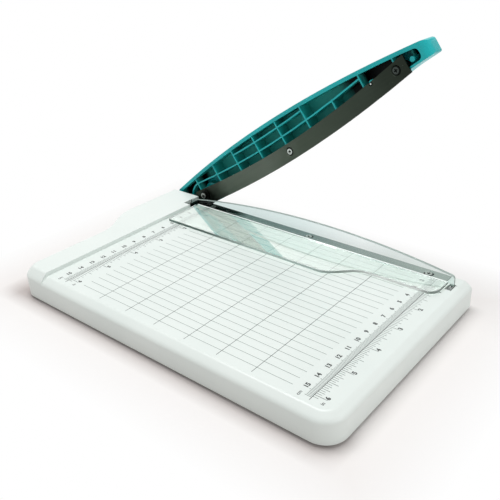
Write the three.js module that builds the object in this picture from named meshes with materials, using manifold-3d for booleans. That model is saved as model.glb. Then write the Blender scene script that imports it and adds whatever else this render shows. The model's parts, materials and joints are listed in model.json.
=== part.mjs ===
// Guillotine paper trimmer: a moulded base with a flat board, a steel strip along the cut, a clear
// guard that lies beside the strip, and a ribbed arm that carries a curved blade.
//
// Millimetres. While the pieces are made, X = 0 is the face that stops the paper and X grows
// towards the handle. Y = 0 is the plane of the cut, with the board on its -Y side, and Z = 0 is
// the table. At the end the group is moved so that its origin is at the middle of the footprint.

import * as THREE from 'three';
import { mergeVertices } from 'three/addons/utils/BufferGeometryUtils.js';
import Module from 'manifold-3d';

const wasm = await Module();
wasm.setup();

// Shared by all pieces
const clearance = 0.3;      // gap between neighbours that touch
const overrun = 2;          // how far a cutting tool runs past the face that it cuts

// Base: the board and its edge
const boardTop = 20;        // the board above the table
const boardLength = 237.5;  // from the paper stop to the outer wall
const boardDepth = 165.8;   // from the cut to the front wall
const cutInset = 1;         // the wall under the cut stands back from the cut plane
const wallFoot = 2;         // the walls end this far above the table
const coverWall = 2.4;
const bevelInset = 5.4;     // sloping edge all round the board
const boardBevelDrop = 2.8;
const edgeSoftInset = 1.1;  // the slope turns into the wall over this much
const edgeSoftDrop = 2.2;
const frontCornerRadius = 14;
const stopCornerRadius = 12;

// Base: the raised rim that stops the paper, and the wider housing beside the hinge
const rimRise = 2.8;
const rimBevelDrop = 4.3;
const rimWidth = 25;
const housingWidth = 40;
const housingDepth = 52;    // along the side, from the cut
const housingSweep = 44;    // length of the curve from the housing's side to the rim's side
const housingCornerRadius = 13;
const housingSweepShare = 0.45;

// Closing plate, its screws and the feet
const plateThickness = 2.5;
const plateRecess = 0.5;    // the plate lies this far inside the walls' lower edge
const bossRadius = 3.6;
const baseScrewRadius = 1.3;
const baseScrewHeadRadius = 2.7;
const baseScrewHeadHeight = 1.2;
const baseScrewLength = 9;
const footRadius = 7.5;
const footEdge = 0.8;       // rounded lower edge of a foot
const bossFromWall = 13.5;  // boss centres from the walls
const footFromWall = 17;
const bossFromFoot = 24;    // along X, between a foot's centre and its nearest boss
const backBossFromCut = 27;
const backFootFromCut = 15;

// Steel strip along the cut
const stripStart = -5.5;    // from the paper stop, so it runs in under the hinge
const stripLength = 228.5;
const stripWidth = 9.9;
const stripThickness = 3;
const stripScrewRadius = 1.6;
const stripScrewHeadRadius = 3.3;
const stripScrewHeadHeight = 2;
const stripScrewLength = 7.5;
const stripScrewFirst = 20.5; // from the strip's start
const stripScrewPitch = 97;
const railDepth = 4.5;      // solid rail of the cover under the strip
const railMargin = 1.6;

// Pivot of the arm
const pivotOut = 2.6;       // from the paper stop
const pivotRise = 6;        // above the board
const boltRadius = 2;
const boltHeadRadius = 3;
const boltHeadHeight = 1.2;
const boltHeadCrown = 0.5;
const earThickness = 1.5;
const earRadius = 4.4;
const earSetback = 0.3;     // from the cut plane
const bracketThickness = 2;
const bracketDrop = 8;      // lower face of the bracket below the board
const bracketReach = 19;    // along X, from the paper stop
const bracketDepth = 26;    // along Y, from the cut plane
const bracketScrewRadius = 1.3;
const bracketScrewHeadRadius = 2.6;
const bracketScrewHeadHeight = 1.4;
const bracketScrewLength = 5.2;
const bracketBossRadius = 3.1;
const sideScrewBack = 8;    // from the cut plane
const sideScrewOut = 14.5;  // from the paper stop
const rearScrewBack = 21.6;
const rearScrewOut = 3.5;
const washerRadius = 5.4;
const washerThickness = 0.8;
const springWasherRadius = 4.6;
const springWasherThickness = 0.9;
const nutWidth = 8;         // across the flats
const nutSides = 6;
const nutThickness = 2.4;

// Clear guard
const guardThickness = 2;
const guardStartHeight = 4.9;
const guardCrownHeight = 26.6; // draws the arch
const guardEndHeight = 7.8;
const guardEndRadius = 3.5;
const guardStart = 4.4;     // from the paper stop
const guardLength = 221;
const guardSetback = 10.5;  // from the cut plane to the upright wall's outer face
const guardDeepReach = 37;  // of the flat flange, from the wall's outer face
const guardShallowReach = 20.6;
const guardStepStart = 149;
const guardStepLength = 27;
const guardStepShare = 0.32;
const guardCornerRadius = 7.5;
const guardStopCornerRadius = 2;
const tongueLength = 9.6;   // past the flange, into the housing's notch
const tongueDrop = 3.8;     // below the board
const tongueTopRun = 3;     // how far the wall's top runs on before it slopes down
const tabLength = 7.2;      // along Y, in the pocket at the far end
const tabThickness = 2.9;
const tabDrop = 4.5;
const tabGap = 1.1;         // from the flange's end to the tab
const notchDepth = 6;       // of the cut-outs for the tongue and the tab
const notchMargin = 0.7;
const notchFrontMargin = 5.5;

// Arm, in its own frame: X runs along it from the pivot, Z is up when it is closed
const armRaise = 36;        // degrees, as photographed
const armThickness = 14;
const armReach = 234.3;     // to the handle's end
const armTail = 33;         // behind the pivot
const armTailTop = 16.8;
const armTopNear = 25.2;    // heights that draw the top's curve
const armTopFar = 21.1;
const armTipTop = 5.8;
const armBellyLow = 14;     // depth that draws the underside's curve
const armKneeLow = 4.8;     // under the blade's end
const armTipLow = 4.6;
const armEndRadius = 2.4;
const armEndTopRadius = 4;
const armTailRadius = 5;
const armTailLow = 3;
const armWall = 2.7;
const armLowWall = 1.5;
const armBack = 2.2;        // the outer side's thickness
const handleFaceRadius = 5.7; // rounding where the open side turns into the handle's end
const handleBackRadius = 2;
const handleSolid = 7;      // solid handle end past the arm's hollow
const hollowEndRadius = 3.2;
const hubRadius = 9;
const hubBossRadius = 5.8;
const hubRecessRadius = 6;
const hubRecessDepth = 5;
const hubRecessWall = 2;
const hubMeetDegrees = -42; // where the underside's curve leaves the hub
const ribThickness = 1.1;
const ribSetback = 0.4;     // rib edges behind the arm's open face
const ribPitch = 26.8;
const ribFirst = -5.3;      // from the pivot
const ribCount = 9;
const shortRib = 6;         // this rib stays under the long rib
const longRibStartHeight = 12.2;
const longRibMiddle = 0.2;
const longRibEndHeight = 8.2;
const longRibEnd = 7;       // it ends at this rib
const upperRibStart = 2;
const upperRibEnd = 5;
const upperRibStartHeight = 14.6;
const upperRibMiddle = 12;
const upperRibEndHeight = 12.9;
const tailRibReach = 23;    // the rib that curves round the hub into the tail
const tailRibShoulder = 13;
const tailRibBend = 21;
const tailRibBendHeight = 7;
const tailRibLow = 4;
const pegRadius = 1.7;
const pegSetback = 0.6;     // its end behind the arm's open face
const pegFromHollowEnd = 6.4;
const pegLow = 0.2;
const pegWebSetback = 5;
const pegWebThickness = 1.2;

// Blade
const bladeThickness = 1.6;
const bladeStart = 10;      // the edge's first point, from the pivot
const handleLength = 16.7;  // from the blade's end to the handle's end
const bladeStartLow = 9.4;
const bladeBelly = 19.7;    // depth that draws the cutting edge
const bladeEndLow = 7;
const bladeEndTop = 5.3;
const bladeTopStart = 5.6;
const bladeTopMiddle = 8.8;
const bladeHeel = 11;       // the blade's end behind the pivot
const bladeHeelTop = 6.4;
const bladeHeelCorner = 2;
const bladeHeelRadius = 6;
const bladeScrewRadius = 1.6;
const bladeScrewHeadRadius = 3.2;
const bladeScrewLength = 9;
const bladeBossRadius = 4;
const midScrewOut = 103.6;
const midScrewLow = 7.5;
const tipScrewBack = 8.5;   // from the blade's end
const tipScrewLow = 0.8;
const pinFromEnd = 45;      // locating pin near the blade's top edge, from the handle's end
const pinHigh = 0.9;
const pinRadius = 1.1;
const pinLength = 5;
const pinBossRadius = 2.4;

// Smoothness of round forms
const cornerSteps = 6;
const sweepSteps = 10;
const armSteps = 22;
const ribSteps = 8;
const roundSides = 24;

// Materials, in the colours of the photo
const whitePlastic = new THREE.MeshStandardMaterial({ color: 0xe4efec, roughness: 0.42, metalness: 0 });
const tealPlastic = new THREE.MeshStandardMaterial({ color: 0x29a9a3, roughness: 0.4, metalness: 0 });
const clearPlastic = new THREE.MeshStandardMaterial({
  color: 0xdcebe8, roughness: 0.06, metalness: 0, transparent: true, opacity: 0.35 });
const bladeSteel = new THREE.MeshStandardMaterial({ color: 0x5b5f58, roughness: 0.34, metalness: 1 });
const stripSteel = new THREE.MeshStandardMaterial({ color: 0x8d9692, roughness: 0.3, metalness: 1 });
const zincSteel = new THREE.MeshStandardMaterial({ color: 0x9ea29f, roughness: 0.35, metalness: 1 });
const greyPlate = new THREE.MeshStandardMaterial({ color: 0xc9d2cf, roughness: 0.6, metalness: 0 });
const footRubber = new THREE.MeshStandardMaterial({ color: 0x24272a, roughness: 0.85, metalness: 0 });

// Solids and meshes

// A closed geometry as a solid that can be joined and cut.
function solidOf(geometry) {
  const bare = geometry.clone();
  bare.deleteAttribute('normal');
  bare.deleteAttribute('uv');
  const merged = mergeVertices(bare);
  return new wasm.Manifold(new wasm.Mesh({
    numProp: 3,
    vertProperties: new Float32Array(merged.getAttribute('position').array),
    triVerts: new Uint32Array(merged.index.array),
  }));
}

function geometryOf(solid) {
  const result = solid.getMesh();
  const geometry = new THREE.BufferGeometry();
  geometry.setAttribute('position', new THREE.BufferAttribute(result.vertProperties, 3));
  geometry.setIndex(new THREE.BufferAttribute(result.triVerts, 1));
  geometry.computeVertexNormals();
  return geometry;
}

function piece(name, shape, material) {
  const geometry = shape.isBufferGeometry ? shape : geometryOf(shape);
  const mesh = new THREE.Mesh(geometry, material);
  mesh.name = name;
  return mesh;
}

function block(x, y, z) {
  const geometry = new THREE.BoxGeometry(x[1] - x[0], y[1] - y[0], z[1] - z[0]);
  geometry.translate((x[0] + x[1]) / 2, (y[0] + y[1]) / 2, (z[0] + z[1]) / 2);
  return solidOf(geometry);
}

// A flat outline in X and Y, raised from one height to another.
function slab(outline, low, high) {
  const geometry = new THREE.ExtrudeGeometry(new THREE.Shape(outline),
    { depth: high - low, bevelEnabled: false });
  geometry.translate(0, 0, low);
  return solidOf(geometry);
}

// An outline in X and Z that stands upright, from one Y to another.
function sidePlate(shape, near, far) {
  const geometry = new THREE.ExtrudeGeometry(shape,
    { depth: far - near, bevelEnabled: false, curveSegments: armSteps });
  geometry.rotateX(Math.PI / 2);
  geometry.translate(0, far, 0);
  return solidOf(geometry);
}

// A turned form: its profile holds [radius, distance along the axis], and the axis is +Y.
function turned(profile) {
  const points = profile.map(([radius, along]) => new THREE.Vector2(radius, along));
  return new THREE.LatheGeometry(points, roundSides);
}

// The same form with its axis along +Z.
function turnedUp(profile) {
  return turned(profile).rotateX(Math.PI / 2);
}

function rod(radius, from, to) {
  return turned([[0, from], [radius, from], [radius, to], [0, to]]);
}

function rodUp(radius, from, to) {
  return rod(radius, from, to).rotateX(Math.PI / 2);
}

function at(geometry, x, y, z) {
  return solidOf(geometry.clone().translate(x, y, z));
}

// Outlines that share one number of points, each at its own height, joined into a closed solid.
function loft(levels) {
  const count = levels[0].outline.length;
  const positions = levels.flatMap(({ outline, z }) => outline.flatMap((point) => [point.x, point.y, z]));
  const faces = [];
  for (let level = 0; level + 1 < levels.length; level += 1) {
    for (let side = 0; side < count; side += 1) {
      const next = (side + 1) % count;
      const low = level * count;
      const high = low + count;
      faces.push(low + side, low + next, high + next, low + side, high + next, high + side);
    }
  }
  const cap = THREE.ShapeUtils.triangulateShape(levels[0].outline, []);
  const top = (levels.length - 1) * count;
  for (const [a, b, c] of cap) {
    faces.push(c, b, a);
  }
  const upperCap = THREE.ShapeUtils.triangulateShape(levels[levels.length - 1].outline, []);
  for (const [a, b, c] of upperCap) {
    faces.push(top + a, top + b, top + c);
  }
  const geometry = new THREE.BufferGeometry();
  geometry.setAttribute('position', new THREE.Float32BufferAttribute(positions, 3));
  geometry.setIndex(faces);
  return solidOf(geometry);
}

function arc(centreX, centreY, radius, fromDegrees, toDegrees) {
  return Array.from({ length: cornerSteps + 1 }, (_, step) => {
    const turn = THREE.MathUtils.degToRad(
      THREE.MathUtils.lerp(fromDegrees, toDegrees, step / cornerSteps));
    return new THREE.Vector2(centreX + radius * Math.cos(turn), centreY + radius * Math.sin(turn));
  });
}

// Screws: a head and a shank as one turned profile. Along the axis zero is the head's outer face
// and the shank runs to negative values. The same profile, grown by the clearance, cuts the hole.

function countersunkProfile(headRadius, headHeight, shankRadius, length, grow) {
  return [[0, -length - grow], [shankRadius + grow, -length - grow],
    [shankRadius + grow, -headHeight], [headRadius + grow, 0],
    [headRadius + grow, grow], [0, grow]];
}

function panProfile(headRadius, headHeight, shankRadius, length) {
  return [[0, -length], [shankRadius, -length], [shankRadius, 0], [headRadius, 0],
    [headRadius, headHeight / 2], [headRadius - headHeight / 2, headHeight], [0, headHeight]];
}

// Base outline at a distance inside the wall. It runs on past the cut, and is trimmed there.
const pastCut = bevelInset + coverWall + overrun;

function baseOutline(inset) {
  const sweepLow = -(housingDepth + housingSweep);
  const sweepRun = housingSweep * housingSweepShare;
  const housingSide = inset - housingWidth;
  const rimSide = inset - rimWidth;
  const sweep = new THREE.CubicBezierCurve(
    new THREE.Vector2(housingSide, -housingDepth),
    new THREE.Vector2(housingSide, -housingDepth - sweepRun),
    new THREE.Vector2(rimSide, sweepLow + sweepRun),
    new THREE.Vector2(rimSide, sweepLow));
  return [
    ...arc(stopCornerRadius - rimWidth, stopCornerRadius - boardDepth, stopCornerRadius - inset, 180, 270),
    ...arc(boardLength - frontCornerRadius, frontCornerRadius - boardDepth, frontCornerRadius - inset,
      270, 360),
    new THREE.Vector2(boardLength - inset, pastCut - inset),
    ...arc(housingCornerRadius - housingWidth, pastCut - housingCornerRadius,
      housingCornerRadius - inset, 90, 180),
    ...sweep.getPoints(sweepSteps),
  ];
}

// The base's form under a top height, with the sloping edge. A shell's inner form is the same one,
// set in by the wall and lowered by the roof.
function baseForm(top, bevelDrop, inset, lowered, low) {
  return loft([
    { outline: baseOutline(inset), z: low },
    { outline: baseOutline(inset), z: top - lowered - bevelDrop - edgeSoftDrop },
    { outline: baseOutline(inset + edgeSoftInset), z: top - lowered - bevelDrop },
    { outline: baseOutline(inset + bevelInset), z: top - lowered },
  ]);
}

const rimTop = boardTop + rimRise;
const plateLow = wallFoot + plateRecess;
const plateHigh = plateLow + plateThickness;
const farBack = pastCut + overrun;
const wallInside = -cutInset - coverWall;
const frontLimit = -boardDepth - overrun;
const leftLimit = -housingWidth - overrun;
const rightLimit = boardLength + overrun;

const bossPlaces = [
  [footFromWall - rimWidth + bossFromFoot, bossFromWall - boardDepth],
  [boardLength / 2, bossFromWall - boardDepth],
  [boardLength - footFromWall - bossFromFoot, bossFromWall - boardDepth],
  [bossFromWall - housingWidth, -backBossFromCut],
  [boardLength / 2, -backBossFromCut],
  [boardLength - footFromWall - bossFromFoot, -backBossFromCut],
];

const footPlaces = [
  [footFromWall - rimWidth, footFromWall - boardDepth],
  [boardLength - footFromWall, footFromWall - boardDepth],
  [boardLength - footFromWall, -backFootFromCut],
  [footFromWall - rimWidth, -backFootFromCut],
];

const stripEnd = stripStart + stripLength;
const stripFace = -clearance;
const stripLow = boardTop - stripThickness;
const stripScrewPlaces = [0, 1, 2].map((step) => stripStart + stripScrewFirst + stripScrewPitch * step);
const stripMiddle = stripFace - stripWidth / 2;
const stripNear = stripFace - stripWidth;

const bracketLow = boardTop - bracketDrop;
const bracketHigh = bracketLow + bracketThickness;
const bracketScrewPlaces = [[-sideScrewOut, -sideScrewBack], [-rearScrewOut, -rearScrewBack]];
const earFar = -earSetback;
const earNear = earFar - earThickness;
const pivotHeight = boardTop + pivotRise;
const slotSides = [pivotOut - earRadius - clearance, pivotOut + earRadius + clearance];

const guardLow = boardTop + clearance;
const guardHigh = guardLow + guardThickness;
const guardEnd = guardStart + guardLength;
const tabStart = guardEnd + tabGap;
const tabEnd = tabStart + tabThickness;
const guardWallNear = -guardSetback - guardThickness;

// A height within the roof, so that what stands under it joins it.
function insideRoof(x) {
  return (x < 0 ? rimTop : boardTop) - coverWall / 2;
}

// Holes and notches of the cover, each cut from the board or the rim

function stripSeat() {
  return block([stripStart - clearance, stripEnd + clearance], [stripNear - clearance, farBack],
    [stripLow - clearance, rimTop + overrun]);
}

// Solid plastic under the strip: a deep rail, and a shelf where the bracket passes below
function stripRail() {
  const near = stripNear - clearance - railMargin;
  const rail = block([slotSides[1], stripEnd + railMargin], [near, farBack],
    [stripLow - railDepth, rimTop]);
  return rail.add(block([stripStart - clearance - railMargin, slotSides[1]], [near, farBack],
    [bracketHigh + clearance, rimTop]));
}

function tongueNotch() {
  return block([guardStart - tongueLength - notchMargin * 2, 0],
    [guardWallNear - notchFrontMargin, -guardSetback + notchMargin * 2],
    [boardTop - notchDepth, rimTop + overrun]);
}

function tabPocket() {
  return block([tabStart - notchMargin, tabEnd + notchMargin],
    [-guardSetback - tabLength - notchMargin, -guardSetback + notchMargin],
    [boardTop - notchDepth, rimTop + overrun]);
}

// The bracket comes up from below: its ear passes a slot and lies in a recess of the wall's face.
function earSlot() {
  const slot = block(slotSides, [wallInside - overrun, farBack], [0, bracketHigh + clearance]);
  return slot.add(block(slotSides, [earNear - clearance, farBack], [0, rimTop + overrun]));
}

// White moulded cover: board, rim and housing, hollow from below
function makeBaseCover() {
  const rim = baseForm(rimTop, rimBevelDrop, 0, 0, wallFoot)
    .intersect(block([leftLimit, 0], [frontLimit, farBack], [0, rimTop + overrun]));
  let cover = baseForm(boardTop, boardBevelDrop, 0, 0, wallFoot).add(rim);

  const cavityLow = wallFoot - overrun;
  const rimCavity = baseForm(rimTop, rimBevelDrop, coverWall, coverWall, cavityLow)
    .intersect(block([leftLimit, -coverWall], [frontLimit, farBack], [cavityLow - overrun, rimTop]));
  let cavity = baseForm(boardTop, boardBevelDrop, coverWall, coverWall, cavityLow).add(rimCavity);
  cavity = cavity.subtract(block([leftLimit, rightLimit], [wallInside, farBack + overrun],
    [cavityLow - overrun, rimTop]));
  cover = cover.subtract(cavity.subtract(stripRail()));
  cover = cover.subtract(block([leftLimit, rightLimit], [-cutInset, farBack + overrun],
    [0, rimTop + overrun]));

  for (const [x, y] of bossPlaces) {
    cover = cover.add(at(rodUp(bossRadius, plateHigh + clearance, insideRoof(x)), x, y, 0));
  }
  for (const [x, y] of bracketScrewPlaces) {
    cover = cover.add(at(rodUp(bracketBossRadius, bracketHigh + clearance, insideRoof(x)), x, y, 0));
  }

  for (const [x, y] of bossPlaces) {
    cover = cover.subtract(at(rodUp(baseScrewRadius + clearance, plateLow,
      plateLow + baseScrewLength + clearance), x, y, 0));
  }
  for (const [x, y] of bracketScrewPlaces) {
    cover = cover.subtract(at(rodUp(bracketScrewRadius + clearance, bracketLow,
      bracketLow + bracketScrewLength + clearance), x, y, 0));
  }
  for (const x of stripScrewPlaces) {
    cover = cover.subtract(at(rodUp(stripScrewRadius + clearance, stripLow - railDepth - overrun,
      boardTop), x, stripMiddle, 0));
  }
  for (const cut of [stripSeat(), tongueNotch(), tabPocket(), earSlot()]) {
    cover = cover.subtract(cut);
  }
  return cover;
}

// Closing plate with countersunk holes on its underside
function makeBasePlate() {
  let plate = slab(baseOutline(coverWall + clearance), plateLow, plateHigh);
  plate = plate.subtract(block([leftLimit, rightLimit], [wallInside - clearance, farBack],
    [0, boardTop]));
  for (const [x, y] of bossPlaces) {
    const hole = turnedUp(countersunkProfile(baseScrewHeadRadius, baseScrewHeadHeight, baseScrewRadius,
      baseScrewLength, clearance)).rotateX(Math.PI);
    plate = plate.subtract(at(hole, x, y, plateLow));
  }
  return plate;
}

function makeBaseScrew(x, y) {
  const screw = turnedUp(countersunkProfile(baseScrewHeadRadius, baseScrewHeadHeight, baseScrewRadius,
    baseScrewLength, 0)).rotateX(Math.PI);
  return screw.translate(x, y, plateLow);
}

function makeFoot(x, y) {
  const footHigh = plateLow - clearance;
  return turnedUp([[0, 0], [footRadius - footEdge, 0], [footRadius, footEdge], [footRadius, footHigh],
    [0, footHigh]]).translate(x, y, 0);
}

// Steel strip with a notch for the bracket's ear and three countersunk holes
function makeBedStrip() {
  let strip = block([stripStart, stripEnd], [stripNear, stripFace], [stripLow, boardTop]);
  strip = strip.subtract(block([slotSides[0] - clearance, slotSides[1] + clearance],
    [earNear - clearance * 2, farBack], [0, boardTop + overrun]));
  for (const x of stripScrewPlaces) {
    const hole = turnedUp(countersunkProfile(stripScrewHeadRadius, stripScrewHeadHeight,
      stripScrewRadius, stripScrewLength, clearance));
    strip = strip.subtract(at(hole, x, stripMiddle, boardTop));
  }
  return strip;
}

function makeBedScrew(x) {
  return turnedUp(countersunkProfile(stripScrewHeadRadius, stripScrewHeadHeight, stripScrewRadius,
    stripScrewLength, 0)).translate(x, stripMiddle, boardTop);
}

// Hole for the pivot bolt, through a piece of this thickness
function pivotHole(near, thickness) {
  return at(rod(boltRadius + clearance, near - overrun, near + thickness + overrun),
    pivotOut, 0, pivotHeight);
}

// Steel bracket: a foot under the housing and an ear that stands up beside the blade
function makePivotBracket() {
  const earSides = [pivotOut - earRadius, pivotOut + earRadius];
  const ear = new THREE.Shape();
  ear.moveTo(earSides[0], bracketLow);
  ear.lineTo(earSides[1], bracketLow);
  ear.absarc(pivotOut, pivotHeight, earRadius, 0, Math.PI);
  ear.closePath();
  let bracket = sidePlate(ear, earNear, earFar);
  bracket = bracket.add(block([-bracketReach, earSides[1]], [-bracketDepth, wallInside - clearance],
    [bracketLow, bracketHigh]));
  bracket = bracket.add(block(earSides, [-bracketDepth, earFar], [bracketLow, bracketHigh]));
  bracket = bracket.subtract(pivotHole(earNear, earThickness));
  for (const [x, y] of bracketScrewPlaces) {
    bracket = bracket.subtract(at(rodUp(bracketScrewRadius + clearance, bracketLow - overrun,
      bracketHigh + overrun), x, y, 0));
  }
  return bracket;
}

function makeBracketScrew(x, y) {
  const screw = turnedUp(panProfile(bracketScrewHeadRadius, bracketScrewHeadHeight, bracketScrewRadius,
    bracketScrewLength)).rotateX(Math.PI);
  return screw.translate(x, y, bracketLow - clearance);
}

// Clear guard: a flange on the board, an arched wall beside the strip, a tongue in the housing's
// notch and a tab in the pocket at the handle end
function guardFlangeOutline() {
  const back = -guardSetback;
  const deep = back - guardDeepReach;
  const shallow = back - guardShallowReach;
  const stepRun = guardStepLength * guardStepShare;
  const stepEnd = guardStepStart + guardStepLength;
  const step = new THREE.CubicBezierCurve(
    new THREE.Vector2(guardStepStart, deep),
    new THREE.Vector2(guardStepStart + stepRun, deep),
    new THREE.Vector2(stepEnd - stepRun, shallow),
    new THREE.Vector2(stepEnd, shallow));
  return [
    new THREE.Vector2(guardEnd, back),
    new THREE.Vector2(guardStart, back),
    ...arc(guardStart + guardStopCornerRadius, deep + guardStopCornerRadius, guardStopCornerRadius,
      180, 270),
    ...step.getPoints(sweepSteps),
    ...arc(guardEnd - guardCornerRadius, shallow + guardCornerRadius, guardCornerRadius, 270, 360),
  ];
}

function guardWallShape() {
  const end = boardTop + guardEndHeight;
  const wall = new THREE.Shape();
  wall.moveTo(guardStart - tongueLength, boardTop - tongueDrop);
  wall.lineTo(-clearance, boardTop - tongueDrop);
  wall.lineTo(-clearance, guardLow);
  wall.lineTo(tabStart, guardLow);
  wall.lineTo(tabStart, boardTop - tabDrop);
  wall.lineTo(tabEnd, boardTop - tabDrop);
  wall.lineTo(tabEnd, end - guardEndRadius);
  wall.quadraticCurveTo(tabEnd, end, tabEnd - guardEndRadius, end);
  wall.quadraticCurveTo((guardStart + guardEnd) / 2, boardTop + guardCrownHeight,
    -tongueTopRun, boardTop + guardStartHeight);
  wall.lineTo(guardStart - tongueLength, boardTop);
  wall.closePath();
  return wall;
}

function makeGuard() {
  const flange = slab(guardFlangeOutline(), guardLow, guardHigh);
  const wall = sidePlate(guardWallShape(), guardWallNear, -guardSetback);
  const tab = block([tabStart, tabEnd], [-guardSetback - tabLength, -guardSetback],
    [boardTop - tabDrop, boardTop - clearance]);
  return flange.add(wall).add(tab);
}

// Arm, made about the pivot as its origin and closed, then turned up as a group

const bladeEnd = armReach - handleLength;
const pinOut = armReach - pinFromEnd;
const armFace = bladeThickness + clearance;
const armFar = armFace + armThickness;
const armInner = armFar - armBack;
const ribRoot = armFar - armBack / 2;
const hollowEnd = armReach - handleSolid;
const ribPlaces = Array.from({ length: ribCount }, (_, index) => ribFirst + ribPitch * index);

// The top's curve has evenly spaced controls, so its height follows from the place along the arm.
const armTop = new THREE.CubicBezierCurve(
  new THREE.Vector2(-armTail, armTailTop),
  new THREE.Vector2((armReach - armTail * 2) / 3, armTopNear),
  new THREE.Vector2((armReach * 2 - armTail) / 3, armTopFar),
  new THREE.Vector2(armReach, armTipTop));

function armTopAt(x) {
  return armTop.getPoint((x + armTail) / (armReach + armTail)).y;
}

// The arm's side outline, or the same line set in by the walls
function armOutline(wall, lowWall, tip, lowRadius, topRadius) {
  const meet = THREE.MathUtils.degToRad(hubMeetDegrees);
  const hub = hubRadius - wall;
  const tail = wall - armTail;
  const tailHigh = armTopAt(tail + armTailRadius) - wall;
  const tipHigh = armTopAt(tip) - wall;
  const lowShare = (tip - bladeEnd) / (armReach - bladeEnd);
  const tipLow = lowWall - THREE.MathUtils.lerp(armKneeLow, armTipLow, lowShare);
  const shape = new THREE.Shape();
  shape.moveTo(hub * Math.cos(meet), hub * Math.sin(meet));
  shape.quadraticCurveTo(bladeEnd / 2, lowWall - armBellyLow, bladeEnd, lowWall - armKneeLow);
  shape.lineTo(tip - lowRadius, tipLow);
  shape.quadraticCurveTo(tip, tipLow, tip, tipLow + lowRadius);
  shape.lineTo(tip, tipHigh - topRadius);
  shape.quadraticCurveTo(tip, tipHigh, tip - topRadius, armTopAt(tip - topRadius) - wall);
  for (let step = 1; step <= armSteps; step += 1) {
    const place = THREE.MathUtils.lerp(tip - topRadius, tail + armTailRadius, step / armSteps);
    shape.lineTo(place, armTopAt(place) - wall);
  }
  shape.quadraticCurveTo(tail, tailHigh, tail, tailHigh - armTailRadius);
  shape.lineTo(tail, armTailLow + wall);
  shape.quadraticCurveTo(tail, -hub / 2, -hub * Math.SQRT1_2, -hub * Math.SQRT1_2);
  shape.absarc(0, 0, hub, -Math.PI * 3 / 4, meet);
  shape.closePath();
  return shape;
}

// The handle's end is rounded in plan, most of all where the arm's open side turns into it.
function armPlan() {
  const behind = -armTail - overrun;
  return slab([
    new THREE.Vector2(behind, armFace),
    ...arc(armReach - handleFaceRadius, armFace + handleFaceRadius, handleFaceRadius, 270, 360),
    ...arc(armReach - handleBackRadius, armFar - handleBackRadius, handleBackRadius, 0, 90),
    new THREE.Vector2(behind, armFar),
  ], -armTopNear, armTopNear);
}

// A rib that follows a curve, with half its thickness to either side
function ribAlong(curve) {
  const half = ribThickness / 2;
  const [upper, lower] = [half, -half].map((side) => Array.from({ length: ribSteps + 1 }, (_, step) => {
    const point = curve.getPoint(step / ribSteps);
    const along = curve.getTangent(step / ribSteps);
    return new THREE.Vector2(point.x - along.y * side, point.y + along.x * side);
  }));
  return sidePlate(new THREE.Shape([...lower, ...upper.reverse()]), armFace + ribSetback, ribRoot);
}

function longRib(start, startHeight, middleHeight, end, endHeight) {
  return ribAlong(new THREE.QuadraticBezierCurve(
    new THREE.Vector2(start, startHeight),
    new THREE.Vector2((start + end) / 2, middleHeight),
    new THREE.Vector2(end, endHeight)));
}

function tailRib() {
  return ribAlong(new THREE.CubicBezierCurve(
    new THREE.Vector2(ribFirst, longRibStartHeight),
    new THREE.Vector2(-tailRibShoulder, longRibStartHeight),
    new THREE.Vector2(-tailRibBend, tailRibBendHeight),
    new THREE.Vector2(-tailRibReach, -tailRibLow)));
}

function crossRib(place, high) {
  return block([place - ribThickness / 2, place + ribThickness / 2],
    [armFace + ribSetback, ribRoot], [-armBellyLow, high]);
}

const midScrewPlace = [midScrewOut, -midScrewLow];
const tipScrewPlace = [bladeEnd - tipScrewBack, -tipScrewLow];

// All ribs and bosses of the arm, to be trimmed by its outline
function armInside() {
  let inside = longRib(ribFirst, longRibStartHeight, longRibMiddle, ribPlaces[longRibEnd],
    longRibEndHeight);
  inside = inside.add(longRib(ribPlaces[upperRibStart], upperRibStartHeight, upperRibMiddle,
    ribPlaces[upperRibEnd], upperRibEndHeight));
  inside = inside.add(tailRib());
  ribPlaces.forEach((place, index) => {
    inside = inside.add(crossRib(place, index === shortRib ? longRibEndHeight - ribThickness : armTopNear));
  });
  for (const [x, z] of [midScrewPlace, tipScrewPlace]) {
    inside = inside.add(at(rod(bladeBossRadius, armFace, ribRoot), x, 0, z));
  }
  inside = inside.add(at(rod(pinBossRadius, armFace, ribRoot), pinOut, 0, pinHigh));
  const pegPlace = hollowEnd - pegFromHollowEnd;
  inside = inside.add(at(rod(pegRadius, armFace + pegSetback, ribRoot), pegPlace, 0, -pegLow));
  return inside.add(block([pegPlace - pegWebThickness / 2, pegPlace + pegWebThickness / 2],
    [armFace + pegWebSetback, ribRoot], [-pegLow, armTopFar]));
}

function makeArmShell() {
  const outer = sidePlate(armOutline(0, 0, armReach, armEndRadius, armEndTopRadius), armFace, armFar)
    .intersect(armPlan());
  const hollow = sidePlate(armOutline(armWall, armLowWall, hollowEnd, hollowEndRadius, hollowEndRadius),
    armFace - overrun, armInner);
  let arm = outer.subtract(hollow).add(armInside().intersect(outer));
  arm = arm.add(at(rod(hubBossRadius, armFace, armFar), 0, 0, 0));
  arm = arm.add(at(rod(hubRecessRadius + hubRecessWall, armFar - hubRecessDepth - armBack, armFar),
    0, 0, 0));
  arm = arm.subtract(at(rod(hubRecessRadius, armFar - hubRecessDepth, armFar + overrun), 0, 0, 0));
  arm = arm.subtract(at(rod(boltRadius + clearance, armFace - overrun, armFar + overrun), 0, 0, 0));
  for (const [x, z] of [midScrewPlace, tipScrewPlace]) {
    arm = arm.subtract(at(rod(bladeScrewRadius + clearance, armFace - overrun,
      bladeScrewLength + clearance), x, 0, z));
  }
  return arm.subtract(at(rod(pinRadius + clearance, armFace - overrun, pinLength + clearance * 2),
    pinOut, 0, pinHigh));
}

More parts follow.
